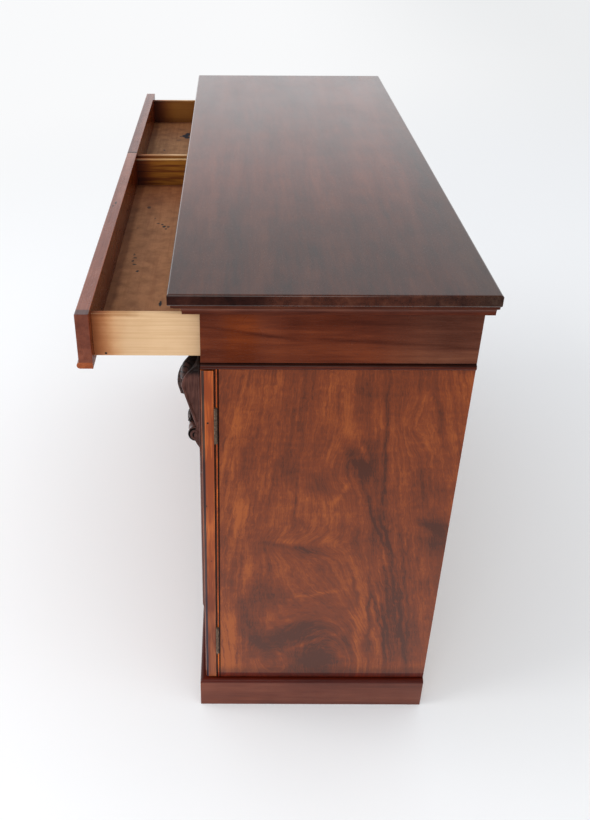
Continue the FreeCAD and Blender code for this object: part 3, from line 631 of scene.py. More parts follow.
@dataclass(frozen=True, kw_only=True)
class Flame(Polished):
    """Flame-figured mahogany on an upright board that faces along X or Y.

    The figure's lines are where a height is the same.  The height is the place across the board,
    drawn together towards the top, plus the swirls' soft hills: lines run up the board far from
    a swirl and round it nearby.
    """

    across: Grain
    swirls: tuple[Spot, ...]
    clouds: tuple[Spot, ...]
    lively: tuple[Spot, ...] = ()
    vigour: float = 0.42
    fan: float = 0.0
    fan_top: float = 0.73
    gloss: Gloss = Gloss(ior=1.33, coat=0.42, coat_roughness=0.34, relief=0.18)
    roughness: float = 0.36
    along: float = 0.055
    half_range: float = 0.21

    def dress(self, board: Board) -> Material:
        """Make the material for one board.

        The tone is the middle one plus streaks of four widths along the lines, short ripples
        across them, and clouds that are frayed by the streaks.

        Args:
            board: The board.

        Returns:
            The material.
        """
        graph = Graph("finish_" + board.node)
        across = graph.y if self.across is Grain.Y else graph.x.size()
        place = graph.gather(0.0, across, graph.z)
        loose = graph.wander(place, 11.0, 0.030)
        height = across / ((self.fan_top - graph.z) * self.fan + 1.0)
        for swirl in self.swirls:
            height = height + graph.spot(loose, swirl) * swirl.depth
        lines = graph.gather(height, graph.z * self.along + across * 0.02, board.seed)
        frayed = graph.wander(lines, 48.0, 0.0065, place)
        broad = graph.noise(frayed, 20.0, 2.0) - 0.5
        streaks = graph.noise(frayed, 135.0, 4.0, 0.56) - 0.5
        fine = graph.noise(frayed, 640.0, 2.0, 0.6) - 0.5
        pores = graph.smooth(graph.noise(frayed, 2100.0, 1.0), 0.36, 0.28)
        crossing = graph.gather(height * 0.3, graph.z, board.seed)
        ripple = graph.noise(graph.wander(crossing, 60.0, 0.010), 130.0, 2.0) - 0.5
        vigour: Number = self.vigour
        for patch in self.lively:
            vigour = graph.spot(loose, patch) * patch.depth + vigour
        tone = (broad * 0.55 + streaks * 0.95) * vigour + fine * 0.36 + ripple * 0.12 + 0.5
        torn = graph.wander(place, 24.0, 0.020)
        tone = tone + (graph.noise(torn, 15.0, 3.0, 0.55) - 0.5) * 0.36
        for cloud in self.clouds:
            tone = tone + graph.spot(torn, cloud) * (streaks * 3.6 + 0.85) * cloud.depth
        worn = graph.arris(board, 2.0 * MM) * graph.smooth(fine, -0.2, 0.2) * 0.3
        colour = self.figured(graph, board, tone, self.half_range, pores * 0.30, worn)
        rub = graph.noise(graph.place, 8.0, 3.0)
        roughness = self.roughness + (rub - 0.5) * 0.12 + pores * 0.1
        coat = self.polish(graph, board, self.gloss.coat)
        return graph.surface(colour, roughness, self.gloss, fine * 0.3 - pores * 0.4, coat=coat)


@dataclass(frozen=True, kw_only=True)
class Softwood(Finish):
    """Bare softwood: pale early wood with darker lines of late wood, browned by air and hands.

    Its tones are those of the early wood, the late wood and the brown of age.
    """

    grain: Grain
    rings: float = 120.0
    ring_strength: float = 0.7
    ageing: float = 0.3
    along: float = 0.035
    soil_scale: float = 13.0
    boards: int = 0
    roughness: float = 0.62
    gloss: Gloss = Gloss(ior=1.34, relief=0.35, relief_depth=0.3 * MM)

    def dress(self, board: Board) -> Material:
        """Make the material for one board.

        Args:
            board: The board.

        Returns:
            The material.
        """
        graph = Graph("finish_" + board.node)
        pale, dark, aged = self.tones
        shift = (board.seed,) * 3
        shortened = graph.stretch(graph.place, self.grain.stretched(self.along), shift)
        stray = graph.wander(shortened, 9.0, 0.02)
        broad = graph.noise(stray, self.rings * 0.3, 2.0)
        ring = graph.noise(stray, self.rings, 2.0, 0.6)
        fine = graph.noise(stray, self.rings * 6.0, 2.0)
        late = graph.smooth(ring * 0.58 + broad * 0.42, 0.45, 0.60) * self.ring_strength
        colour = graph.mix(late, pale, dark)
        soiled = graph.noise(graph.place, self.soil_scale, 4.0, 0.6)
        colour = graph.mix(graph.smooth(soiled, 0.3, 0.75) * self.ageing, colour, aged)
        colour = graph.mix(graph.smooth(fine, 0.35, 0.2) * 0.4, colour, aged)
        if self.boards:
            colour = self._joint(graph, board, colour)
        colour = self.lay_stains_and_painted_light(graph, board, colour)
        worn = graph.arris(board, 1.6 * MM) * graph.smooth(fine, 0.2, 0.5)
        colour = graph.mix(worn * 0.35, colour, pale)
        roughness = self.roughness + (soiled - 0.5) * 0.15
        return graph.surface(colour, roughness, self.gloss, late * 0.5 + fine * 0.5)

    def _joint(self, graph: Graph, board: Board, colour: Socket) -> Socket:
        """Shade boards that lie side by side along X: each in its own tone, with dark joints.

        Args:
            graph: The material's graph.
            board: The node that holds the boards.
            colour: Colour of the wood.

        Returns:
            The colour link.
        """
        wide = (board.high.x - board.low.x) / self.boards
        place = (graph.x - board.low.x) / wide
        number = graph.math("FLOOR", place)
        own = graph.smooth(graph.noise(graph.gather(number * 3.7, 0.5, 0.5), 1.0, 2.0), 0.35, 0.65)
        colour = graph.mix(own * 0.5, colour, self.tones[2])
        middle = (place - number - 0.5).size()
        joint = graph.smooth(middle, 0.5 - 1.6 * MM / wide, 0.5 - 0.6 * MM / wide)
        return graph.mix(joint * 0.85, colour, (0.02, 0.012, 0.008))


@dataclass(frozen=True, kw_only=True)
class Metal(Finish):
    """Old brass or iron: its tones are bright where it is rubbed and dull brown elsewhere."""

    tarnished: float
    roughness: float = 0.42
    gloss: Gloss = Gloss(relief=0.2, relief_depth=0.2 * MM)

    def dress(self, board: Board) -> Material:
        """Make the material for one fitting.

        Args:
            board: The fitting.

        Returns:
            The material.
        """
        graph = Graph("finish_" + board.node)
        place = graph.stretch(graph.place, offset=(board.seed,) * 3)
        bloom = graph.noise(place, 160.0, 4.0, 0.62)
        grit = graph.noise(place, 1500.0, 2.0)
        rubbed = graph.arris(board, 0.9 * MM)
        film = graph.smooth(bloom, 0.28, 0.62) * self.tarnished * (1.0 - rubbed * 0.6)
        colour = graph.mix(film, *self.tones)
        roughness = self.roughness + film * 0.25 + (grit - 0.5) * 0.1
        return graph.surface(colour, roughness, self.gloss, grit, 1.0 - film * 0.55)


# ---------------------------------------------------------------- the finishes themselves

INNER, OUTER, FRONT, BACK, BOTTOM, TOP = Face
# The skin of each face alone, half a millimetre deep.
SKIN = {face: Near(face, 0.5, 0.5) for face in Face}
# How far a case side reaches down behind its plinth, in millimetres.
CASE_FOOT = (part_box("plinth_side_right")[1].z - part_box("case_side_right")[0].z) / MM
BACK_BOARDS = 7
# Painted shade: nearly black, for the dark lines in gaps, joints and quirks where shade falls.
PAINTED_GAP_SHADE = (0.06, 0.05, 0.06)
SATIN = Gloss(ior=1.36, relief=0.2)

TOP_MAHOGANY = Mahogany(
    tones=((0.042, 0.007, 0.003), (0.100, 0.015, 0.005), (0.170, 0.034, 0.012)),
    grain=Grain.X,
    gloss=Gloss(coat=0.7, coat_roughness=0.12, relief=0.0),
    roughness=0.20,
    arris_wear=0.25,
    along=0.10,
    bands=24.0,
    bloom=0.5,
    stains_and_painted_light=(
        StainAndPaintedLight((0.58, 0.80, 0.88), (Near(OUTER, 120, 450),)),
        StainAndPaintedLight((0.72, 0.95, 1.05), (Near(BACK, 12, 50, ragged=30),)),
        StainAndPaintedLight((0.90, 1.00, 1.10), (Near(FRONT, 6, 30, ragged=30),)),
        # Painted sheen: the end faces are lightened and greyed.
        StainAndPaintedLight((1.25, 1.58, 2.20), (SKIN[OUTER],)),
        StainAndPaintedLight((1.15, 1.35, 1.75), (SKIN[INNER],)),
        StainAndPaintedLight((0.50, 0.40, 0.44), (SKIN[OUTER], Near(FRONT, 125, 30))),
        StainAndPaintedLight((0.70, 0.70, 0.70), (SKIN[OUTER], Near(FRONT, 125, 30, 45))),
        StainAndPaintedLight((0.80, 1.00, 1.15), (SKIN[OUTER], Near(BACK, 90, 40))),
    ),
)
FRIEZE_MAHOGANY = Mahogany(
    tones=((0.058, 0.008, 0.002), (0.119, 0.021, 0.006), (0.205, 0.042, 0.011)),
    grain=Grain.Y,
    gloss=Gloss(ior=1.43, relief=0.08),
    roughness=0.26,
    contrast=0.72,
    stains_and_painted_light=(
        # Painted shade: a dark line along the bottom, where the frieze meets its bead.
        StainAndPaintedLight(PAINTED_GAP_SHADE, (Near(BOTTOM, 0.9, 0.8),)),
        StainAndPaintedLight((1.00, 1.65, 3.00), (Near(BACK, 50, 120),)),
        StainAndPaintedLight((1.04, 0.88, 0.28), (SKIN[OUTER], Near(FRONT, 70, 22, 46))),
    ),
    spots=spots(
        Grain.X, 623, 20,
        # The first spot is a painted highlight, an orange glow; the others are figure.
        (-120, 800, 42, 18, -6, 0.24),
        (-160, 760, 34, 20, 0, -0.07),
        (-110, 784, 80, 2.8, -9, -0.24),
        (60, 771, 120, 3.4, -3.5, -0.22),
        (180, 768, 70, 10, 0, -0.10),
    ),
)
COVE_ALONG_X = Mahogany(
    tones=((0.060, 0.009, 0.003), (0.122, 0.022, 0.007), (0.200, 0.044, 0.014)),
    grain=Grain.X,
    gloss=SATIN,
    stains_and_painted_light=(
        # A darker band at the top, so that the top's edge looks thicker, and below it a light
        # bluish band, a painted highlight.
        StainAndPaintedLight((0.62, 0.72, 0.90), (Near(TOP, 6.5, 1.5),)),
        StainAndPaintedLight((1.05, 1.35, 1.72), (Near(TOP, 14, 2, 8),)),
    ),
)
COVE_ALONG_Y = replace(COVE_ALONG_X, grain=Grain.Y)
MOULDING_ALONG_X = Mahogany(
    tones=((0.032, 0.006, 0.002), (0.074, 0.012, 0.004), (0.140, 0.030, 0.009)),
    grain=Grain.X,
    gloss=SATIN,
)
MOULDING_ALONG_Z = replace(MOULDING_ALONG_X, grain=Grain.Z)
FRIEZE_BEAD = replace(
    MOULDING_ALONG_X,
    grain=Grain.Y,
    stains_and_painted_light=(
        # Painted shade: a dark line along the top, under the frieze.
        StainAndPaintedLight((0.30, 0.30, 0.35), (Near(TOP, 2.2, 1.0),)),
        StainAndPaintedLight((0.90, 0.75, 0.70), (Near(TOP, 10, 1),)),
        StainAndPaintedLight((0.80, 0.35, 0.10), (Near(BOTTOM, 3.0, 0.8, 1.2),)),
        # Painted highlight: a light bluish line along the bottom arris.
        StainAndPaintedLight((2.00, 2.60, 4.00), (Near(BOTTOM, 0.9, 0.6),)),
    ),
)
PLINTH_ALONG_X = Mahogany(
    tones=((0.088, 0.021, 0.012), (0.164, 0.041, 0.022), (0.240, 0.071, 0.038)),
    grain=Grain.X,
    gloss=SATIN,
    contrast=0.8,
    stains_and_painted_light=(
        StainAndPaintedLight((0.52, 0.17, 0.05), (Near(TOP, 6.0, 1.6),)),
        StainAndPaintedLight((0.78, 0.77, 0.82), (Near(BACK, 200, 160),)),
    ),
)
PLINTH_ALONG_Y = replace(PLINTH_ALONG_X, grain=Grain.Y)
DOOR_UPRIGHT = Mahogany(
    tones=((0.140, 0.026, 0.006), (0.257, 0.056, 0.010), (0.340, 0.086, 0.0155)),
    grain=Grain.Z,
    gloss=SATIN,
    contrast=1.6,
    spots=spots(
        Grain.X, 620, 20,
        (-176, 690, 10, 18, 0, -0.10),
        (-178, 545, 10, 16, 0, -0.12),
        (-176, 400, 10, 40, 0, 0.08),
        (-176, 250, 10, 30, 0, -0.10),
    ),
    stains_and_painted_light=(
        # Painted light: the outer edge is lightened twice over; towards the bottom the last two
        # tints make it darker and bluer.
        StainAndPaintedLight((2.0, 2.0, 2.0), (SKIN[OUTER],)),
        # Painted reflection: a dark bluish sheen on the rounded front arris.
        StainAndPaintedLight((0.15, 0.38, 1.5), (SKIN[OUTER], Near(FRONT, 5.0, 0.6))),
        # Painted shade in the gap by the case.
        StainAndPaintedLight(PAINTED_GAP_SHADE, (SKIN[OUTER], Near(BACK, 0.7, 0.5))),
        StainAndPaintedLight((0.60, 0.64, 1.00), (SKIN[OUTER], Near(BOTTOM, 120, 200))),
        StainAndPaintedLight((1.00, 1.14, 1.45), (SKIN[OUTER], Near(BOTTOM, 360, 220))),
    ),
    dots=spots(
        Grain.X, 622.5, 20,
        (-176.4, 631, 1.6, 1.8, 0, 1.0),
        (-180.0, 470, 1.4, 2.2, 0, 0.6),
        (-173.5, 352, 1.1, 1.6, 0, 0.6),
        (-181.5, 226, 1.2, 1.4, 0, 0.5),
    ),
)
DOOR_CROSSWISE = replace(DOOR_UPRIGHT, grain=Grain.X, spots=(), stains_and_painted_light=(), dots=())
FRONT_STAINS_AND_SHEEN = (
    # Painted sheen: the top face is lightened and greyed.
    StainAndPaintedLight((1.50, 2.08, 3.10), (SKIN[TOP],)),
    StainAndPaintedLight((0.84, 0.41, 0.06), (SKIN[BACK],)),
)
DRAWER_FRONT = Mahogany(
    tones=((0.095, 0.022, 0.012), (0.160, 0.042, 0.020), (0.245, 0.072, 0.034)),
    grain=Grain.X,
    gloss=Gloss(coat=0.35, coat_roughness=0.12),
    roughness=0.27,
    stains_and_painted_light=FRONT_STAINS_AND_SHEEN + (
        # Painted shade in the joint by the other drawer's front.
        StainAndPaintedLight(PAINTED_GAP_SHADE, (Near(INNER, 2.6, 0.8),)),
        StainAndPaintedLight((0.44, 0.62, 0.80), (SKIN[TOP], Near(OUTER, 13, 2.5, ragged=4))),
        StainAndPaintedLight((1.06, 1.04, 1.14), (SKIN[OUTER],)),
    ),
    dots=spots(
        Grain.Z, 813.5, 8,
        (176, -353, 7.0, 2.2, 0, 0.8),
        (192, -356, 5.0, 1.8, 0, 0.6),
    ),
    matt=(SKIN[BACK], Near(INNER, 2.6, 0.8)),
)
DRAWER_FRONT_LEFT = replace(
    DRAWER_FRONT,
    # Painted shade in the joint by the other drawer's front, on the left one's outer end.
    stains_and_painted_light=FRONT_STAINS_AND_SHEEN + (StainAndPaintedLight(PAINTED_GAP_SHADE, (Near(OUTER, 2.6, 0.8),)),),
    dots=(),
    matt=(SKIN[BACK],),
)
DRAWER_LEDGE = replace(
    DRAWER_FRONT, stains_and_painted_light=(StainAndPaintedLight((1.7, 1.4, 0.8), (SKIN[OUTER],)),), dots=(), matt=()
)
CASE_FLAME = Flame(
    tones=((0.082, 0.020, 0.009), (0.200, 0.038, 0.008), (0.355, 0.081, 0.012)),
    across=Grain.Y,
    fan=1.3,
    swirls=spots(
        Grain.X, 0, 1000,
        (66, 110, 76, 165, 6, -0.125),
        (-185, 110, 62, 130, 0, -0.060),
        (-5, 400, 60, 26, 0, 0.026),
        (-52, 128, 20, 30, 30, 0.026),
        (42, 560, 40, 50, 20, 0.016),
        (152, 640, 22, 40, 0, 0.018),
    ),
    lively=spots(
        Grain.X, 0, 1000,
        (150, 260, 50, 190, 0, 0.65),
        (70, 560, 40, 50, 0, 0.35),
        (0, 180, 90, 90, 0, 0.30),
    ),
    clouds=spots(
        Grain.X, 0, 1000,
        (-122, 650, 14, 75, -14, 0.11), (-113, 575, 12, 45, 0, -0.08),
        (-138, 560, 14, 50, 0, 0.10), (-70, 547, 14, 35, -10, 0.09),
        (-118, 452, 28, 60, 0, 0.12), (-40, 557, 15, 20, 0, -0.07),
        (-11, 500, 38, 18, 0, 0.09), (12, 552, 22, 55, 18, -0.09),
        (48, 592, 9, 40, 28, -0.14), (82, 562, 13, 42, 12, -0.16),
        (60, 550, 22, 24, 0, -0.10), (36, 512, 36, 11, -6, -0.12),
        (73, 590, 4.5, 18, 22, 0.22), (46, 506, 22, 5, 50, 0.15),
        (50, 425, 20, 30, 0, -0.07), (10, 462, 60, 45, 0, 0.05),
        (108, 600, 3.2, 130, 3, -0.20), (184, 650, 4.5, 50, 14, -0.20),
        (102, 458, 3.4, 65, 19, -0.26), (128, 410, 3.0, 50, 16, -0.24),
        (155, 400, 2.4, 40, 18, -0.16), (81, 305, 3.2, 50, 14, -0.20),
        (113, 230, 3.4, 85, 5, -0.26), (143, 170, 2.6, 70, 8, -0.20),
        (170, 205, 3.6, 100, 11, -0.24), (98, 170, 8.0, 90, 2, 0.14),
        (128, 260, 5.0, 80, 7, 0.16), (156, 250, 5.5, 70, 10, 0.16),
        (214, 412, 18, 56, 6, -0.30), (192, 444, 22, 9, -22, -0.18),
        (180, 200, 50, 120, 0, -0.06), (-40, 402, 18, 7, 0, 0.18),
        (3, 388, 50, 13, -4, -0.17), (-55, 398, 40, 5, -10, -0.12),
        (29, 411, 12, 8, 0, 0.20), (-100, 341, 50, 40, 0, 0.08),
        (-75, 285, 32, 40, 0, -0.13), (-142, 180, 26, 90, 0, 0.17),
        (-92, 200, 14, 65, 22, -0.18), (0, 284, 55, 4, 12, 0.15),
        (-20, 194, 80, 24, 40, -0.20), (10, 166, 55, 5, 28, 0.18),
        (70, 145, 11, 50, 22, 0.18), (25, 118, 42, 16, 0, -0.18),
        (30, 150, 80, 50, 0, -0.14), (-145, 140, 30, 70, 0, 0.18),
    ),
    stains_and_painted_light=(
        # Painted shade in the door's gap and in the quirk of the bead.
        StainAndPaintedLight(PAINTED_GAP_SHADE, (SKIN[OUTER], Near(FRONT, 1.7, 0.4))),
        StainAndPaintedLight(PAINTED_GAP_SHADE, (Near(OUTER, 2.0, 0.5), Near(FRONT, 6.5, 0.4, 4.3))),
        StainAndPaintedLight((1.7, 1.5, 0.8), (SKIN[OUTER], Near(FRONT, 3.9, 0.4, 2.2))),
        # Painted shade and reflection at the foot: a shade band above the plinth, a darker orange
        # band of glints, and a dark line where the side meets the plinth.
        StainAndPaintedLight((0.66, 0.64, 0.68), (SKIN[OUTER], Near(BOTTOM, CASE_FOOT + 15, 20))),
        StainAndPaintedLight((0.62, 0.24, 0.06), (SKIN[OUTER], Near(BOTTOM, CASE_FOOT + 12, 2.5))),
        StainAndPaintedLight((0.22, 0.16, 0.20), (SKIN[OUTER], Near(BOTTOM, CASE_FOOT + 1.4, 1.0))),
    ),
    matt=(Near(BOTTOM, CASE_FOOT + 10.5, 3.0), Near(FRONT, 7.0, 0.8)),
)
PANEL_FLAME = Flame(
    tones=((0.060, 0.014, 0.007), (0.165, 0.036, 0.012), (0.310, 0.080, 0.024)),
    across=Grain.X,
    swirls=spots(
        Grain.X, 0, 1000,
        (283, 470, 90, 150, 0, -0.150),
        (283, 230, 70, 110, 0, -0.110),
        (160, 330, 60, 120, 18, 0.050),
        (410, 330, 60, 120, -18, -0.050),
    ),
    clouds=spots(
        Grain.X, 0, 1000,
        (283, 400, 30, 220, 0, -0.16),
        (180, 500, 60, 80, 20, 0.12),
        (390, 480, 60, 80, -20, 0.12),
    ),
)
INNER_FACE = Near(INNER, 0.6, 1.2)
DRAWER_PINE = Softwood(
    tones=((0.76, 0.515, 0.295), (0.62, 0.370, 0.185), (0.50, 0.265, 0.120)),
    grain=Grain.Y,
    rings=520.0,
    ring_strength=0.55,
    ageing=0.26,
    along=0.014,
    stains_and_painted_light=(
        StainAndPaintedLight((0.80, 0.55, 0.38), (Near(FRONT, 22, 52, ragged=22),)),
        StainAndPaintedLight((0.54, 0.34, 0.24), (Near(FRONT, 14, 34, ragged=14),)),
        StainAndPaintedLight((0.70, 0.60, 0.50), (Near(FRONT, 60, 40, ragged=30), Near(TOP, 2, 5, ragged=6))),
        # The inner faces are darkened, partly browning and partly painted shade, and more so by the
        # front and the bottom: painted shade in the corners.
        StainAndPaintedLight((0.36, 0.185, 0.036), (INNER_FACE,)),
        StainAndPaintedLight((0.55, 0.45, 0.40), (INNER_FACE, Near(FRONT, 16, 50))),
        StainAndPaintedLight((0.70, 0.62, 0.60), (INNER_FACE, Near(BOTTOM, 14, 16, ragged=10))),
    ),
    dots=spots(Grain.X, 600.5, 10, (-325, 739.5, 1.8, 1.8, 0, 1.0)),
)
DRAWER_PINE_FAR = replace(
    DRAWER_PINE, stains_and_painted_light=DRAWER_PINE.stains_and_painted_light + (StainAndPaintedLight((1.03, 1.11, 1.42), (INNER_FACE,)),), dots=()
)
DRAWER_PINE_LEFT = replace(
    DRAWER_PINE,
    stains_and_painted_light=DRAWER_PINE.stains_and_painted_light + (StainAndPaintedLight((0.40, 0.24, 0.10), (Near(OUTER, 0.6, 0.8),)),),
    dots=(),
)
DRAWER_PINE_WAVY = replace(
    DRAWER_PINE,
    tones=((1.07, 0.790, 0.370), (0.47, 0.230, 0.070), DRAWER_PINE.tones[2]),
    rings=250.0,
    ring_strength=1.0,
    along=0.050,
)
DRAWER_PINE_ACROSS = Softwood(
    # Its tones are the drawer back's inside, made dark partly as browning and partly as painted
    # shade; the outer face is lightened back to pale wood.
    tones=((0.180, 0.081, 0.029), (0.122, 0.049, 0.018), (0.084, 0.034, 0.015)),
    grain=Grain.X,
    rings=200.0,
    ageing=0.5,
    stains_and_painted_light=(StainAndPaintedLight((2.2, 3.2, 5.0), (SKIN[BACK],)),),
)
DRAWER_BOTTOM_RIGHT = Softwood(
    tones=((0.435, 0.188, 0.078), (0.320, 0.122, 0.046), (0.200, 0.078, 0.034)),
    grain=Grain.X,
    rings=210.0,
    ring_strength=0.5,
    ageing=0.66,
    soil_scale=46.0,
    stains_and_painted_light=(
        StainAndPaintedLight((0.86, 0.74, 0.68), (Near(INNER, 70, 140, ragged=30),)),
        StainAndPaintedLight((0.62, 0.54, 0.50), (Near(FRONT, 14, 10, ragged=12),)),
        StainAndPaintedLight((0.60, 0.50, 0.45), (Near(INNER, 10, 12, ragged=8),)),
    ),
    dots=spots(
        Grain.Z, 750, 20,
        (30, -305, 7.0, 4.0, 0, 0.7), (90, -288, 4.0, 2.0, 0, 0.6),
        (116, -280, 4.0, 3.0, 0, 0.8), (122, -272, 4.0, 2.4, 0, 0.9),
        (132, -268, 5.0, 3.0, 0, 1.0), (134, -260, 4.0, 2.6, 0, 1.0),
        (144, -264, 4.0, 2.4, 0, 0.9), (140, -318, 3.0, 2.0, 0, 0.5),
        (266, -312, 5.0, 1.8, 0, 0.7), (280, -310, 4.0, 3.6, 0, 0.7),
        (294, -312, 5.0, 2.4, 0, 0.8), (309, -308, 3.0, 3.6, 0, 0.9),
        (337, -300, 3.6, 3.0, 0, 1.0), (390, -343, 6.0, 2.0, 0, 0.8),
        (462, -252, 10.0, 2.5, 0, 1.0),
    ),
    dot_colour=(0.012, 0.016, 0.022),
    dot_stray=6.0 * MM,
)
DRAWER_BOTTOM_LEFT = replace(
    DRAWER_BOTTOM_RIGHT,
    tones=((0.460, 0.226, 0.096), (0.330, 0.142, 0.056), (0.206, 0.090, 0.041)),
    dots=spots(
        Grain.Z, 750, 20,
        (-480, -250, 14, 6.5, 0, 0.95), (-466, -256, 12, 8.0, 0, 0.95),
        (-453, -250, 9, 7.5, 0, 0.95), (-462, -266, 4, 5.0, 0, 0.7),
        (-430, -270, 5, 6.0, 0, 0.3), (-350, -300, 3, 3.0, 0, 1.0),
    ),
    dot_colour=(0.010, 0.020, 0.038),
)
CASE_SOFTWOOD = Softwood(
    tones=((0.42, 0.255, 0.140), (0.30, 0.165, 0.082), (0.20, 0.105, 0.055)),
    grain=Grain.X,
    rings=110.0,
    ageing=0.55,
)
RUNNER_SOFTWOOD = replace(CASE_SOFTWOOD, grain=Grain.Y)
BACK_SOFTWOOD = Softwood(
    tones=((0.37, 0.215, 0.112), (0.25, 0.130, 0.060), (0.15, 0.080, 0.042)),
    grain=Grain.Z,
    rings=150.0,
    ageing=0.5,
    boards=BACK_BOARDS,
)
HINGE_BRASS = Metal(tones=((0.32, 0.22, 0.145), (0.085, 0.050, 0.036)), tarnished=0.9)
PLATE_BRASS = Metal(tones=((0.78, 0.57, 0.27), (0.24, 0.14, 0.06)), tarnished=0.5)
LOCK_IRON = Metal(tones=((0.34, 0.33, 0.32), (0.075, 0.055, 0.045)), tarnished=0.8)


# ---------------------------------------------------------------- dressing construction nodes


@dataclass(frozen=True)
class Dressed:
    """One construction node with its finish and how far its arrises are softened."""

    node: str
    finish: Mahogany | Flame | Softwood | Metal
    softened: float
    seed: float

    def build(self) -> None:
        """Give the node its material and soften its arrises."""
        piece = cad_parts[self.node]
        material = self.finish.dress(Board(self.node, self.seed, *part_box(self.node)))
        for place in piece.material_slots:
            place.material = material
        if self.softened:
            weld = piece.modifiers.new("weld", "WELD")
            weld.merge_threshold = 0.01 * MM
            bevel = piece.modifiers.new("softened", "BEVEL")
            bevel.width = self.softened
            bevel.segments = 2
            bevel.limit_method = "ANGLE"
            bevel.angle_limit = math.radians(50.0)
            bevel.use_clamp_overlap = True
        log.info("dressed %s", self.node)


def both(*stems: str) -> list[str]:
    """Return the names of right-hand nodes, each followed by its left-hand twin."""
    return [stem + side for stem in stems for side in ("_right", "_left")]


def dress_all() -> None:
    """Dress every construction node that shows, each with its figure shifted another way."""
    rows: list[tuple[Sequence[str], Any, float]] = [
        (["top_board"], TOP_MAHOGANY, 0.0),
        (["top_moulding_front"], COVE_ALONG_X, 0.0),
        (both("top_moulding"), COVE_ALONG_Y, 0.0),
        (["top_rail", "drawer_rail"], MOULDING_ALONG_X, 0.5),
        (both("frieze_side"), FRIEZE_MAHOGANY, 0.5),
        (both("frieze_bead"), FRIEZE_BEAD, 0.0),
        (both("case_side"), CASE_FLAME, 0.3),
        (["plinth_front"], PLINTH_ALONG_X, 0.0),
        (both("plinth_side"), PLINTH_ALONG_Y, 0.0),
        (["bottom_board", "shelf", "plinth_bearers"], CASE_SOFTWOOD, 0.5),
        (["back_boards"], BACK_SOFTWOOD, 0.5),
        (["shelf_bearers", "drawer_runners", "drawer_kickers", "drawer_partition"],
         RUNNER_SOFTWOOD, 0.5),
        (both("door_outer_stile", "door_meeting_stile"), DOOR_UPRIGHT, 0.4),
        (both("door_top_rail", "door_bottom_rail"), DOOR_CROSSWISE, 0.0),
        (both("door_panel"), PANEL_FLAME, 0.0),
        (both("door_panel_moulding"), MOULDING_ALONG_Z, 0.0),
        (both("hinge_case_leaves", "hinge_door_leaves"), HINGE_BRASS, 0.0),
        (["lock_case", "lock_bolt", "slide_bolt", "slide_guide"], LOCK_IRON, 0.0),
        (["escutcheon"], PLATE_BRASS, 0.3),
        (["drawer_right_bottom"], DRAWER_BOTTOM_RIGHT, 0.0),
        (["drawer_left_bottom"], DRAWER_BOTTOM_LEFT, 0.0),
    ]
    parts = ("_front", "_bead", "_side_left", "_side_right", "_back")
    for stem, front, far, near in (
        ("drawer_right", DRAWER_FRONT, DRAWER_PINE_WAVY, DRAWER_PINE),
        ("drawer_left", DRAWER_FRONT_LEFT, DRAWER_PINE_FAR, DRAWER_PINE_LEFT),
    ):
        finishes = (front, DRAWER_LEDGE, far, near, DRAWER_PINE_ACROSS)
        rows += [([stem + part], finish, 0.0) for part, finish in zip(parts, finishes)]
    seed = 0.0
    for names, finish, softened in rows:
        for name in names:
            seed += 0.731
            Dressed(name, finish, softened * MM, seed).build()


# ---------------------------------------------------------------- worked-out surfaces


@dataclass
class Sheets:
    """Gathers grids of points into one closed mesh."""

    points: list[np.ndarray] = field(default_factory=list)
    quads: list[np.ndarray] = field(default_factory=list)
    fans: list[np.ndarray] = field(default_factory=list)
    hollows: list[np.ndarray] = field(default_factory=list)
    count: int = 0

    def tube(self, grid: np.ndarray, hollow: np.ndarray | None = None) -> None:
        """Add a tube whose two ends are closed by fans round their middles.

        Args:
            grid: Points as (stations, round the section, 3).
            hollow: How deep in the carving each point lies, from 0 to 1.
        """
        rows, columns = grid.shape[:2]
        index = self.count + np.arange(rows * columns).reshape(rows, columns)
        turned = np.roll(index, -1, axis=1)
        quads = np.stack((index[:-1], turned[:-1], turned[1:], index[1:]), axis=-1)
        for number, row in enumerate((0, rows - 1)):
            centre = np.full(columns, self.count + rows * columns + number)
            self.fans.append(np.stack((index[row], turned[row], centre), axis=-1))
        ends = np.stack((grid[0].mean(axis=0), grid[-1].mean(axis=0)))
        depth = np.zeros((rows, columns)) if hollow is None else hollow
        self.points.append(np.concatenate((grid.reshape(-1, 3), ends)))
        self.quads.append(quads.reshape(-1, 4))
        self.hollows.append(np.concatenate((depth.ravel(), (depth[0].mean(), depth[-1].mean()))))
        self.count += rows * columns + 2

    def build(self, name: str, material: Material, smooth: bool = True) -> bpy.types.Object:
        """Make the object: doubles merged, faces outwards, hollows kept as an attribute.

        Args:
            name: Name of the piece.
            material: Its finish.
            smooth: Whether the faces are shaded smooth.

        Returns:
            The new object, at the origin.
        """
        mesh = bpy.data.meshes.new(name)
        faces = np.concatenate(self.quads).tolist() + np.concatenate(self.fans).tolist()
        mesh.from_pydata(np.concatenate(self.points).tolist(), [], faces)
        depth = mesh.attributes.new("hollow", "FLOAT", "POINT")
        depth.data.foreach_set("value", np.concatenate(self.hollows).astype(np.float32))
        work = bmesh.new()
        work.from_mesh(mesh)
        bmesh.ops.remove_doubles(work, verts=work.verts, dist=0.0005 * MM)
        bmesh.ops.recalc_face_normals(work, faces=work.faces)
        work.to_mesh(mesh)
        work.free()
        mesh.polygons.foreach_set("use_smooth", [smooth] * len(mesh.polygons))
        mesh.materials.append(material)
        return stand(name, mesh)


def stand(name: str, data: bpy.types.ID) -> bpy.types.Object:
    """Put a new object into the scene, at the origin.

    Args:
        name: Its name.
        data: Its mesh, lamp or camera.

    Returns:
        The object.
    """
    thing = bpy.data.objects.new(name, data)
    bpy.context.scene.collection.objects.link(thing)
    return thing


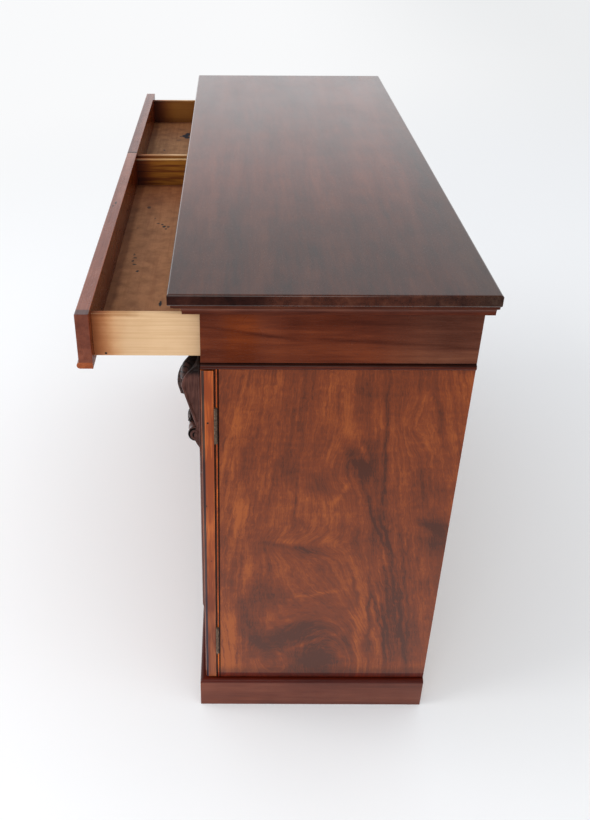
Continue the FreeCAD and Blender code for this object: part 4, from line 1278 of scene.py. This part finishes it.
def unit(value: np.ndarray) -> np.ndarray:
    """Return each number kept between 0 and 1."""
    return np.clip(value, 0.0, 1.0)


def rounding(power: np.ndarray) -> np.ndarray:
    """Return the root of one minus each number: with s to an even power, a rounded end at s = 1."""
    return np.sqrt(unit(1.0 - power))


def step(value: np.ndarray, low: float, high: float) -> np.ndarray:
    """Return the smooth step 3s^2 - 2s^3 of each number between low and high."""
    share = unit((value - low) / (high - low))
    return share * share * (3.0 - 2.0 * share)


def bell(value: np.ndarray, width: float) -> np.ndarray:
    """Return e to the minus squared number, counted in widths."""
    return np.exp(-((value / width) ** 2))


def bend_line(guides: Sequence[Row], share: np.ndarray) -> np.ndarray:
    """Return points of the Bezier curve of some guide points.

    Each guide is weighted by its binomial times s^i (1-s)^(n-i).

    Args:
        guides: The guide points.
        share: Places along the curve, from 0 to 1.

    Returns:
        Points as (places, 2).
    """
    last = len(guides) - 1
    order = np.arange(last + 1)
    binomial = np.array([math.comb(last, int(i)) for i in order], float)
    s = share[:, None]
    weights = binomial * s**order * (1.0 - s) ** (last - order)
    return weights @ np.array(guides, float)


@dataclass(frozen=True)
class CarvedPolish:
    """Nearly black polished mahogany, rubbed red-brown where the carving stands proud, darker still
    in its hollows and under its leaves, partly from dirt in the carving and partly as painted
    shade, and with a painted shadow near the top against the plate.
    """

    # Colour of the deep places: partly dirt and old polish in the carving, partly painted shade.
    hollow: Colour = (0.004, 0.0025, 0.002)
    ground: Colour = (0.062, 0.025, 0.020)
    proud: Colour = (0.130, 0.052, 0.040)
    gloss: Gloss = Gloss(
        ior=1.27, coat=0.08, coat_roughness=0.08, relief=0.15, relief_depth=0.2 * MM
    )
    # Where the painted shadow under the drawer begins: the height above which and the place in y
    # behind which it lies.
    painted_shadow_above: float = 0.700
    painted_shadow_behind: float = -0.206
    polished: tuple[Spot, ...] = spots(
        Grain.X, 0, 1000,
        (-216, 701, 2.4, 12, 0, 1.0),
        (-205, 692, 8.0, 4, 40, 0.6),
        (-206, 622, 2.2, 3, 0, 1.0),
        (-209, 612, 2.2, 4, 0, 1.0),
        (-200, 598, 3.0, 3, 0, 1.0),
    )

    def dress(self, name: str) -> Material:
        """Make the material; it reads how deep each point lies in the carving.

        Args:
            name: Name of the material.

        Returns:
            The material.
        """
        graph = Graph(name)
        depth = graph.node("ShaderNodeAttribute", {"attribute_name": "hollow"}).outputs["Fac"]
        deep = Value(graph, depth)
        along = graph.stretch(graph.place, Grain.Z.stretched(0.08))
        lines = graph.noise(graph.wander(along, 10.0, 0.01), 520.0, 2.0)
        cloud = graph.noise(graph.place, 45.0, 3.0)
        tone = lines * 0.5 + cloud * 0.5
        colour = graph.mix(graph.smooth(tone, 0.36, 0.64), self.ground, self.proud)
        colour = graph.mix(graph.smooth(deep, 0.15, 0.9), colour, self.hollow)
        # Painted shadow: nearly black near the top, close to the plate, where the drawer's shade
        # falls.
        painted_shadow = graph.smooth(graph.z, self.painted_shadow_above, self.painted_shadow_above + 0.010)
        painted_shadow = painted_shadow * graph.smooth(graph.y, self.painted_shadow_behind - 0.006, self.painted_shadow_behind + 0.005)
        colour = graph.mix(painted_shadow * 0.9, colour, self.hollow)
        dull = graph.smooth(deep, 0.25, 0.55)
        roughness = 0.30 + (cloud - 0.5) * 0.16 + dull * 0.60 + painted_shadow * 0.2
        coat: Number = (1.0 - dull) * self.gloss.coat
        for spot in self.polished:
            coat = graph.spot(graph.place, spot) * spot.depth + coat
        return graph.surface(colour, roughness, self.gloss, lines * 0.4, coat=coat)


@dataclass(frozen=True)
class Leaf:
    """A carved leaf: a sheet bent along a line, lobed at its edges and veined.

    Its guides are (out, drop) pairs in millimetres: out from the plate, drop down from the
    door's top.
    """

    guides: tuple[Row, ...]
    half_width: float
    lobes: int
    cup: float
    scallop: float = 0.16
    thickness: float = 2.4 * MM
    vein_depth: float = 0.9 * MM
    rows: int = 72
    columns: int = 56

    def grid(self) -> tuple[np.ndarray, np.ndarray]:
        """Work the leaf out as a closed tube of flat sections.

        A point is the bent line's point, plus v half widths across, plus a lift square to the
        line: minus the cup times v squared, plus ripples between lobes, minus veins that run
        out and forward from the midrib.

        Returns:
            Points as (stations, round, 3), as across, out and drop, and their hollows.
        """
        s = np.linspace(0.0, 1.0, self.rows)
        line = bend_line([(out * MM, drop * MM) for out, drop in self.guides], s)
        ahead = np.gradient(line, axis=0)
        ahead /= np.linalg.norm(ahead, axis=1)[:, None]
        square = np.stack((ahead[:, 1], -ahead[:, 0]), axis=1)
        v = np.linspace(-1.0, 1.0, self.columns)
        waves = self.lobes + 0.5
        lobing = np.abs(np.sin(math.pi * waves * s)) ** 0.7
        taper = (1.0 - s**2.4) ** 0.55
        half = self.half_width * taper * (1.0 - self.scallop + self.scallop * 1.5 * lobing)
        half = np.maximum(half, 0.3 * MM)
        grid_s, grid_v = np.meshgrid(s, v, indexing="ij")
        reach = np.abs(grid_v)
        vein_phase = waves * (grid_s + 0.20 * reach) * 2.0
        vein = bell(np.sin(math.pi * vein_phase), 0.30) * step(reach, 0.04, 0.25)
        midrib = bell(grid_v * half[:, None], 1.4 * MM)
        groove = np.maximum(vein * (1.0 - reach**4), midrib)
        ripple = np.cos(2.0 * math.pi * waves * grid_s) * reach**2
        lift = -self.cup * grid_v**2 - groove * self.vein_depth + 0.8 * MM * ripple
        under = lift - self.thickness * rounding(grid_v**4) - 0.05 * MM
        sides = [
            np.stack((
                grid_v * half[:, None],
                line[:, None, 0] + square[:, None, 0] * height,
                line[:, None, 1] + square[:, None, 1] * height,
            ), axis=-1)
            for height in (lift, under)
        ]
        around = np.concatenate((sides[0], sides[1][:, ::-1]), axis=1)
        # The underside counts as deep, so it takes the dark colour of the hollows: painted shade
        # under the leaf.
        hollow = np.concatenate((groove * 0.5 + 0.5, np.full_like(groove, 0.8)), axis=1)
        return around, hollow


LEAVES = (
    Leaf(
        guides=((2, 1.5), (20, 3), (34, 22), (40, 46), (28.5, 53), (29.5, 66)),
        half_width=26.0 * MM,
        lobes=4,
        cup=6.0 * MM,
    ),
    Leaf(
        guides=((5.5, 116), (7, 92), (15, 90), (23.5, 98), (16.5, 110), (19.5, 116.5)),
        half_width=17.0 * MM,
        lobes=2,
        cup=3.0 * MM,
        thickness=2.0 * MM,
        vein_depth=0.7 * MM,
        rows=52,
        columns=40,
    ),
)


@dataclass(frozen=True)
class Corbel:
    """Carved corbel: back plate, tapering scroll block, a volute and two leaves.

    Its parts are worked out as (across, out, drop): across from its middle, out from its plate's
    face, drop down from the door's top.
    """

    node: str
    body: str
    plate_thickness: float = 3.8 * MM
    plate_margin: float = 3.0 * MM
    crown: float = 25.8 * MM
    crown_drop: float = 38.0 * MM
    neck: float = 4.5 * MM
    neck_drop: float = 110.8 * MM
    block_drop: float = 152.0 * MM
    foot_bulge: float = 6.0 * MM
    volute_radius: float = 12.0 * MM
    volute_turns: float = 1.75
    volute_below: float = 13.0 * MM
    ridge: float = 1.8 * MM
    reeds_from: float = 50.0 * MM
    reeds_to: float = 104.0 * MM
    reed_depth: float = 1.6 * MM
    sinking: float = 1.5 * MM
    margin: float = 4.0 * MM
    arris: float = 1.2 * MM
    stations: int = 150
    flank_points: int = 26
    front_points: int = 73
    disc_points: int = 96
    disc_rings: int = 34
    roll_stations: int = 41

    def place(self, local: np.ndarray) -> np.ndarray:
        """Turn the corbel's own measures into places in the frame.

        Args:
            local: Points as across, out and drop, in the last axis.

        Returns:
            Points as x, y and z.
        """
        low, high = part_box(self.node)
        across, out, drop = np.moveaxis(local, -1, 0)
        face = high.y - self.plate_thickness
        return np.stack(((low.x + high.x) / 2 + across, face - out, high.z - drop), axis=-1)

    def half_width(self) -> float:
        """Return half the width of the scroll block."""
        low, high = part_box(self.node)
        return (high.x - low.x) / 2 - self.plate_margin

    def profile(self, drop: np.ndarray) -> np.ndarray:
        """Return how far the block stands out at each drop.

        A parabola rises to the crown, a straight taper falls to the neck, and half an ellipse
        behind the volute runs out to nothing at the foot.

        Args:
            drop: The drops.

        Returns:
            The outs.
        """
        rise = self.crown * (1.0 - (1.0 - unit(drop / self.crown_drop)) ** 2)
        fall = (drop - self.crown_drop) / (self.neck_drop - self.crown_drop)
        taper = self.crown + (self.neck - self.crown) * unit(fall)
        past = unit((drop - self.neck_drop) / (self.block_drop - self.neck_drop))
        bulge = self.neck * (1.0 - past) + self.foot_bulge * np.sin(math.pi * past)
        foot = np.where(past > 0.0, bulge * rounding(past**6), taper)
        return np.where(drop < self.crown_drop, rise, foot)

    def block(self) -> tuple[np.ndarray, np.ndarray]:
        """Work out the scroll block as sections stacked down its length.

        Each section runs up one flank, across the front and down the other flank, with eased
        arrises.  The flanks are sunk inside a margin, and the front is reeded below the leaf.

        Returns:
            Points and hollows.
        """
        half = self.half_width()
        drop = np.linspace(0.2 * MM, self.block_drop, self.stations)
        out = np.maximum(self.profile(drop), 0.4 * MM)[:, None]
        flank = np.linspace(0.0, 1.0, self.flank_points)
        rise, flank_drop = np.meshgrid(flank, drop, indexing="xy")
        inset = (1.0 - rise) * out
        low_end = self.neck_drop - 2.5 * self.margin
        sunk = (
            step(inset, self.margin - 0.5 * MM, self.margin + 0.5 * MM)
            * step(flank_drop, 2.2 * self.margin, 2.2 * self.margin + MM)
            * (1.0 - step(flank_drop, low_end, low_end + MM))
        )
        eased = self.arris * (1.0 - rounding(unit(1.0 - inset / self.arris) ** 2))
        flank_across = half - sunk * self.sinking - eased
        flank_out = rise * out - 1.0 * MM * (1.0 - rise)
        left, right = (
            np.stack((side * flank_across, flank_out, flank_drop), axis=-1) for side in (-1, 1)
        )
        across = np.linspace(-1.0, 1.0, self.front_points)[1:-1]
        grid_v, grid_drop = np.meshgrid(across, drop, indexing="xy")
        reeds = np.abs(np.sin(math.pi * 2.5 * grid_v)) ** 0.8
        reeded = step(np.abs(grid_v), 0.86, 0.80)
        reeded *= step(grid_drop, self.reeds_from, self.reeds_from + 10.0 * MM)
        reeded *= 1.0 - step(grid_drop, self.reeds_to - 6.0 * MM, self.reeds_to)
        front_hollow = reeded * (1.0 - reeds)
        front_out = out - front_hollow * self.reed_depth
        front = np.stack((grid_v * (half - self.arris), front_out, grid_drop), axis=-1)
        grid = np.concatenate((left, front, right[:, ::-1]), axis=1)
        hollow = np.concatenate((sunk * 0.25, front_hollow, sunk[:, ::-1] * 0.25), axis=1)
        return grid, hollow

    def volute(self) -> tuple[np.ndarray, np.ndarray]:
        """Work out the roll at the foot: discs with a spiral ridge, joined by the roll's face.

        On a disc the ridge is high where the angle minus the turns times the radius is even.

        Returns:
            Points and hollows.
        """
        half = self.half_width() + 0.8 * MM
        angle = np.linspace(0.0, 2.0 * math.pi, self.disc_points, endpoint=False)
        radii = np.linspace(0.02, 1.0, self.disc_rings)
        grid_r, grid_a = np.meshgrid(radii, angle, indexing="ij")
        ridge = 0.5 + 0.5 * np.cos(grid_a - 2.0 * math.pi * self.volute_turns * grid_r)
        eye = 1.0 - step(grid_r, 0.16, 0.26)
        relief = np.maximum(step(ridge, 0.25, 0.7) * (1.0 - eye), eye * 1.3)
        relief *= rounding(grid_r**14)
        disc_across = half - self.ridge + relief * self.ridge
        disc = np.stack((disc_across, grid_r, 1.0 - unit(relief)))
        spans = np.linspace(-1.0, 1.0, self.roll_stations)
        waist = bell(spans, 0.08)
        roll_r = 1.0 - 0.10 * np.cos(math.pi * 1.5 * spans) ** 2 - 0.05 * waist
        roll = np.stack((spans * (half - 2.0 * MM), roll_r, waist))[..., None]
        roll = np.repeat(roll, self.disc_points, axis=2)
        mirrored = disc * np.array((-1.0, 1.0, 1.0))[:, None, None]
        across, r, hollow = np.concatenate((mirrored, roll, disc[:, ::-1]), axis=1)
        r = r * self.volute_radius
        out = self.neck + 1.0 * MM + r * np.cos(angle)
        drop = self.neck_drop + self.volute_below + r * 1.12 * np.sin(angle)
        return np.stack((across, out, drop), axis=-1), hollow

    def plate(self) -> np.ndarray:
        """Work out the back plate: sections of its width, drawn in to a rounded foot.

        Returns:
            Points as (stations, round, 3).
        """
        low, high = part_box(self.node)
        half, length = (high.x - low.x) / 2, high.z - low.z
        tail = length - self.block_drop
        edge = np.array([0.0, 0.35, 1.0]) * MM
        straight = np.linspace(3.0 * MM, self.block_drop, 30)
        foot = self.block_drop + tail * np.sin(np.linspace(0.0, math.pi / 2, 46)[1:])
        drop = np.concatenate((edge, straight, foot))[:, None]
        past = unit((drop - self.block_drop) / tail)
        waist = half * (0.42 + 0.58 * (1.0 - step(past, 0.0, 0.72)))
        width = np.maximum(waist * rounding(unit((past - 0.79) / 0.21) ** 2), 0.02 * MM)
        turn = np.linspace(0.0, math.pi / 2, 5)
        face = np.linspace(1.0, -1.0, 9)[1:-1]
        inner = 1.0 - np.minimum(self.arris, width) / width
        corner = inner + (1.0 - inner) * np.cos(turn)
        back = np.ones_like(drop)
        w = np.concatenate((back, corner, inner * face, -corner[:, ::-1], -back), axis=1)
        eased = self.arris * np.sin(turn) - self.arris
        behind = [-self.plate_thickness]
        out = np.concatenate((behind, eased, 0.0 * face, eased[::-1], behind))
        return np.stack((w * width, *np.broadcast_arrays(out, drop)), axis=-1)

    def build(self, polish: Material) -> None:
        """Carve the corbel, polish it and put it in its node's place.

        Args:
            polish: Its material.
        """
        sheets = Sheets()
        sheets.tube(self.place(self.plate()))
        for grid, hollow in (self.block(), self.volute(), *(leaf.grid() for leaf in LEAVES)):
            sheets.tube(self.place(grid), hollow)
        piece = sheets.build("carved_" + self.node, polish)
        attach(piece, self.body)
        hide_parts(self.node)
        log.info("carved %s", piece.name)


def carve_corbels() -> None:
    """Carve both corbels out of the same dark mahogany."""
    polish = CarvedPolish().dress("carved_polish")
    for side in ("right", "left"):
        Corbel("door_corbel_" + side, "door_" + side).build(polish)


# ---------------------------------------------------------------- small fastenings

SCREW_HEIGHTS = (10.0 * MM, 31.75 * MM, 53.5 * MM)
HINGE_LEAF = 1.8 * MM
RIM_POINTS = 20
TOWARDS_BACK = (0.0, 1.0, 0.0)
TOWARDS_FRONT = (0.0, -1.0, 0.0)


class Head(Enum):
    """Shapes of a fastening's head."""

    SLOTTED = "slotted"
    DOMED = "domed"

    def grid(self, turn: float) -> tuple[np.ndarray, np.ndarray, np.ndarray]:
        """Work out one head as rings from under its rim to its middle.

        A domed head's height is the root of one minus the squared radius.  A slotted head is
        flat, with a trough where the distance to a line through its middle is small.

        Args:
            turn: The slot's turn.

        Returns:
            Two places across and the lift, each as (rings, round), in radii and heights.
        """
        radii = np.array([0.96, 1.0, 1.0, 0.93, 0.72, 0.48, 0.24, 0.02])
        lifts = np.array([-0.6, -0.5, 0.45, 1.0, 1.0, 1.0, 1.0, 1.0])
        if self is Head.DOMED:
            lifts = np.concatenate(([-0.6, -0.4], rounding(radii[2:] ** 2)))
        angle = np.linspace(0.0, 2.0 * math.pi, RIM_POINTS, endpoint=False)
        r, a = np.meshgrid(radii, angle, indexing="ij")
        lift = np.repeat(lifts[:, None], RIM_POINTS, axis=1)
        u, v = r * np.cos(a), r * np.sin(a)
        if self is Head.SLOTTED:
            beside = u * math.sin(turn) - v * math.cos(turn)
            lift = np.where((np.abs(beside) < 0.16) & (lift > 0.0), lift - 0.9, lift)
        return u, v, lift


@dataclass(frozen=True)
class Fastenings:
    """Like heads on one body, kept together as one piece.

    A seat is the middle of a head's underside, and a head faces along `facing`.
    """

    name: str
    body: str
    slot: str
    head: Head
    seats: Sequence[Point]
    facing: Point
    radius: float
    height: float

    def build(self, finish: Material) -> None:
        """Make the piece, with each slot turned another way, and let it ride on its body.

        Args:
            finish: Its material.
        """
        normal = Vector(self.facing).normalized()
        side = normal.orthogonal().normalized()
        axes = [np.array(axis) for axis in (side, normal.cross(side), normal)]
        sizes = (self.radius, self.radius, self.height)
        sheets = Sheets()
        for number, seat in enumerate(self.seats):
            parts = self.head.grid(0.7 + 1.9 * number)
            rings = zip(parts, sizes, axes)
            offset = sum((part * size)[..., None] * axis for part, size, axis in rings)
            sheets.tube(np.array(seat) + offset)
        piece = sheets.build(self.name, finish, smooth=self.head is Head.DOMED)
        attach(piece, self.body)
        log.info("%d heads in %s", len(self.seats), self.name)


def hinge_screws(side: str, on_door: bool) -> Fastenings:
    """Return the screws of two hinges' leaves, in the door's edge or in the case.

    Args:
        side: "right" or "left".
        on_door: Whether they hold the leaves on the door.

    Returns:
        The screws, as one piece.
    """
    part = "door" if on_door else "case"
    low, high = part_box(f"hinge_{part}_leaves_{side}")
    outer, inwards = (high.x, -1.0) if side == "right" else (low.x, 1.0)
    x = outer + inwards * 14.0 * MM
    y = low.y + HINGE_LEAF if on_door else high.y - HINGE_LEAF
    heights = [low.z + h for h in SCREW_HEIGHTS] + [high.z - h for h in SCREW_HEIGHTS]
    return Fastenings(
        f"hinge_screws_{part}_{side}",
        f"door_{side}" if on_door else "carcase",
        "iron_lock",
        Head.SLOTTED,
        [(x, y, z) for z in heights],
        TOWARDS_BACK if on_door else TOWARDS_FRONT,
        2.7 * MM,
        0.12 * MM,
    )


def corners(low: Point, high: Point, y: float, inset: float) -> list[Point]:
    """Return the four corners of a plate that faces along Y.

    Args:
        low: The plate's lowest corner.
        high: Its highest corner.
        y: The face that the corners are on.
        inset: How far they are from its edges.

    Returns:
        The corners.
    """
    across, up = ((low[axis] + inset, high[axis] - inset) for axis in (0, 2))
    return [(x, y, z) for x in across for z in up]


def plate_heads() -> list[Fastenings]:
    """Place the heads that hold plates and boards.

    Returns:
        The lock's screws, the guide's screws, the escutcheon's pins and the back boards' nails.
    """
    low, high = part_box("lock_case")
    lock = corners(low, high, high.y, 5.0 * MM)
    low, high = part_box("slide_guide")
    guide = corners(low, high, low.y + 1.5 * MM, 3.6 * MM)
    low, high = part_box("escutcheon")
    pins = [((low.x + high.x) / 2, low.y, z) for z in (low.z + 2.6 * MM, high.z - 2.6 * MM)]
    low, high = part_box("back_boards")
    wide = (high.x - low.x) / BACK_BOARDS
    levels = [sum(corner.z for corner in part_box(name)) / 2 for name in ("bottom_board", "shelf")]
    nails = [
        (low.x + wide * (board + part), high.y, level)
        for board in range(BACK_BOARDS)
        for part in (0.2, 0.8)
        for level in (*levels, high.z - 12.0 * MM)
    ]
    slotted, domed = Head.SLOTTED, Head.DOMED
    rows = (
        ("lock_screws", "door_right", "iron_lock", slotted, lock, TOWARDS_BACK, 2.6, 0.7),
        ("guide_screws", "door_left", "iron_lock", slotted, guide, TOWARDS_BACK, 1.9, 0.5),
        ("escutcheon_pins", "door_right", "brass_escutcheon", domed, pins, TOWARDS_FRONT, 1.0, 0.5),
        ("back_board_nails", "carcase", "iron_lock", domed, nails, TOWARDS_BACK, 1.7, 0.5),
    )
    return [Fastenings(*row, radius * MM, height * MM) for *row, radius, height in rows]


def fasten() -> None:
    """Drive all the small fastenings in."""
    iron = LOCK_IRON.dress(Board("fastening_iron", 0.0, *frame_bounds))
    brass = PLATE_BRASS.dress(Board("fastening_brass", 0.0, *frame_bounds))
    sets = [hinge_screws(side, on_door) for side in ("right", "left") for on_door in (True, False)]
    for heads in sets + plate_heads():
        heads.build(brass if heads.slot == "brass_escutcheon" else iron)


# ---------------------------------------------------------------- studio


@dataclass(frozen=True)
class Studio:
    """Camera, white floor, sky and lamps."""

    eye: Point = (1.760, -0.138, 1.390)
    pitch: float = 32.89
    roll: float = 0.23
    lens: float = 39.64
    sensor: float = 36.0
    shift: float = 0.0751
    floor_half: float = 14.0
    floor_white: Colour = (0.955, 0.97, 0.985)
    far_white: Colour = (0.95, 0.955, 0.965)
    far_grey: Colour = (0.84, 0.85, 0.86)
    sky: float = 0.83
    sky_overhead: float = 0.50
    dark_end: float = 0.96
    key_power: float = 60.0
    fill_power: float = 25.0

    def camera(self) -> None:
        """Stand the camera at the cupboard's right-hand end, looking down along -X."""
        data = bpy.data.cameras.new("camera")
        data.sensor_fit = "VERTICAL"
        data.sensor_width = self.sensor
        data.sensor_height = self.sensor
        data.lens = self.lens
        data.shift_x = self.shift
        eye = stand("camera", data)
        pitch, roll = math.radians(self.pitch), math.radians(self.roll)
        ahead = Vector((-math.cos(pitch), 0.0, -math.sin(pitch)))
        level = Vector((0.0, 1.0, 0.0))
        above = Vector((-math.sin(pitch), 0.0, math.cos(pitch)))
        right = level * math.cos(roll) + above * math.sin(roll)
        upward = above * math.cos(roll) - level * math.sin(roll)
        turned = Matrix((right, upward, -ahead)).transposed()
        eye.matrix_world = Matrix.Translation(self.eye) @ turned.to_4x4()
        bpy.context.scene.camera = eye

    def floor(self) -> None:
        """Lay a wide white floor, dark in polished faces towards +X and plain far away."""
        half = self.floor_half
        rim = [(-half, -half, 0.0), (half, -half, 0.0), (half, half, 0.0), (-half, half, 0.0)]
        mesh = bpy.data.meshes.new("floor")
        mesh.from_pydata(rim, [], [(0, 1, 2, 3)])
        graph = Graph("floor_white")
        path = graph.node("ShaderNodeLightPath").outputs
        cloudy = graph.noise(graph.place, 1.3, 3.0) * 0.04
        white = graph.mix(cloudy, self.floor_white, (1.0, 1.0, 1.0))
        lit = graph.node("ShaderNodeBsdfDiffuse", sockets={"Color": white}).outputs[0]
        black = graph.node("ShaderNodeEmission", sockets={"Strength": 0.0}).outputs[0]
        dimmed = graph.smooth(graph.x, 0.45, 1.9) * self.dark_end
        dimmed = dimmed * Value(graph, path["Is Glossy Ray"])
        shader = self._blend(graph, dimmed, lit, black)
        distance = graph.math("SQRT", graph.x * graph.x + graph.y * graph.y)
        far = graph.smooth(distance + graph.y * -0.5, 1.2, 4.5)
        far = far * Value(graph, path["Is Camera Ray"])
        fade = graph.mix(graph.smooth(graph.y, 0.0, 2.5), self.far_white, self.far_grey)
        plain = graph.node("ShaderNodeEmission", sockets={"Color": fade}).outputs[0]
        shader = self._blend(graph, far, shader, plain)
        graph.node("ShaderNodeOutputMaterial", sockets={"Surface": shader})
        mesh.materials.append(graph.material)
        stand("floor", mesh)

    @staticmethod
    def _blend(graph: Graph, share: Value, under: Any, over: Any) -> Socket:
        """Return a share of one shader laid over another."""
        sockets = {"Fac": share, "Shader": under, "Shader_001": over}
        return graph.node("ShaderNodeMixShader", sockets=sockets).outputs[0]

    def world(self) -> None:
        """Make the sky: white for the camera and dimmer as a light.

        Polished faces see it dimmer overhead, and nearly dark towards +X.
        """
        world = bpy.data.worlds.new("studio")
        graph = Graph("studio", world)
        direction = graph.node("ShaderNodeTexCoord").outputs["Generated"]
        ahead, _, rise = graph.split(direction)
        path = graph.node("ShaderNodeLightPath").outputs
        clear = Value(graph, path["Is Camera Ray"]).most(Value(graph, path["Is Transmission Ray"]))
        glossy = Value(graph, path["Is Glossy Ray"])
        overhead = 1.0 - graph.smooth(rise, 0.20, 0.36) * (1.0 - self.sky_overhead)
        overhead = overhead * (1.0 - graph.smooth(ahead, -0.1, 0.4) * self.dark_end)
        lamp = (1.0 - clear) * (1.0 - glossy) * self.sky
        strength = clear + glossy * overhead + lamp
        sockets = {"Color": (0.97, 0.98, 1.0, 1.0), "Strength": strength}
        sky = graph.node("ShaderNodeBackground", sockets=sockets).outputs[0]
        graph.node("ShaderNodeOutputWorld", sockets={"Surface": sky})
        bpy.context.scene.world = world

    def lamp(self, name: str, place: Point, size: float, power: float) -> None:
        """Hang a square soft lamp that looks at the middle of the cupboard.

        Args:
            name: Name of the lamp.
            place: Where it hangs.
            size: Side of the lamp.
            power: Power in watts.
        """
        data = bpy.data.lights.new(name, "AREA")
        data.size = size
        data.energy = power
        data.color = (1.0, 0.99, 0.97)
        data.specular_factor = 0.0
        lamp = stand(name, data)
        aim = Vector((0.2, 0.0, 0.45)) - Vector(place)
        lamp.rotation_mode = "QUATERNION"
        lamp.rotation_quaternion = aim.to_track_quat("-Z", "Y")
        lamp.location = place

    def build(self) -> None:
        """Set the whole studio up."""
        bpy.context.scene.view_settings.view_transform = "Standard"
        self.camera()
        self.floor()
        self.world()
        self.lamp("key", (0.6, -3.2, 3.0), 2.6, self.key_power)
        self.lamp("end_fill", (3.6, -0.6, 2.2), 2.4, self.fill_power)
        log.info("studio ready")


def main() -> None:
    """Build the studio and dress the cupboard."""
    logging.basicConfig(level=logging.INFO, format="%(name)s: %(message)s")
    Studio().build()
    dress_all()
    carve_corbels()
    fasten()


if __name__ == "__main__":
    main()
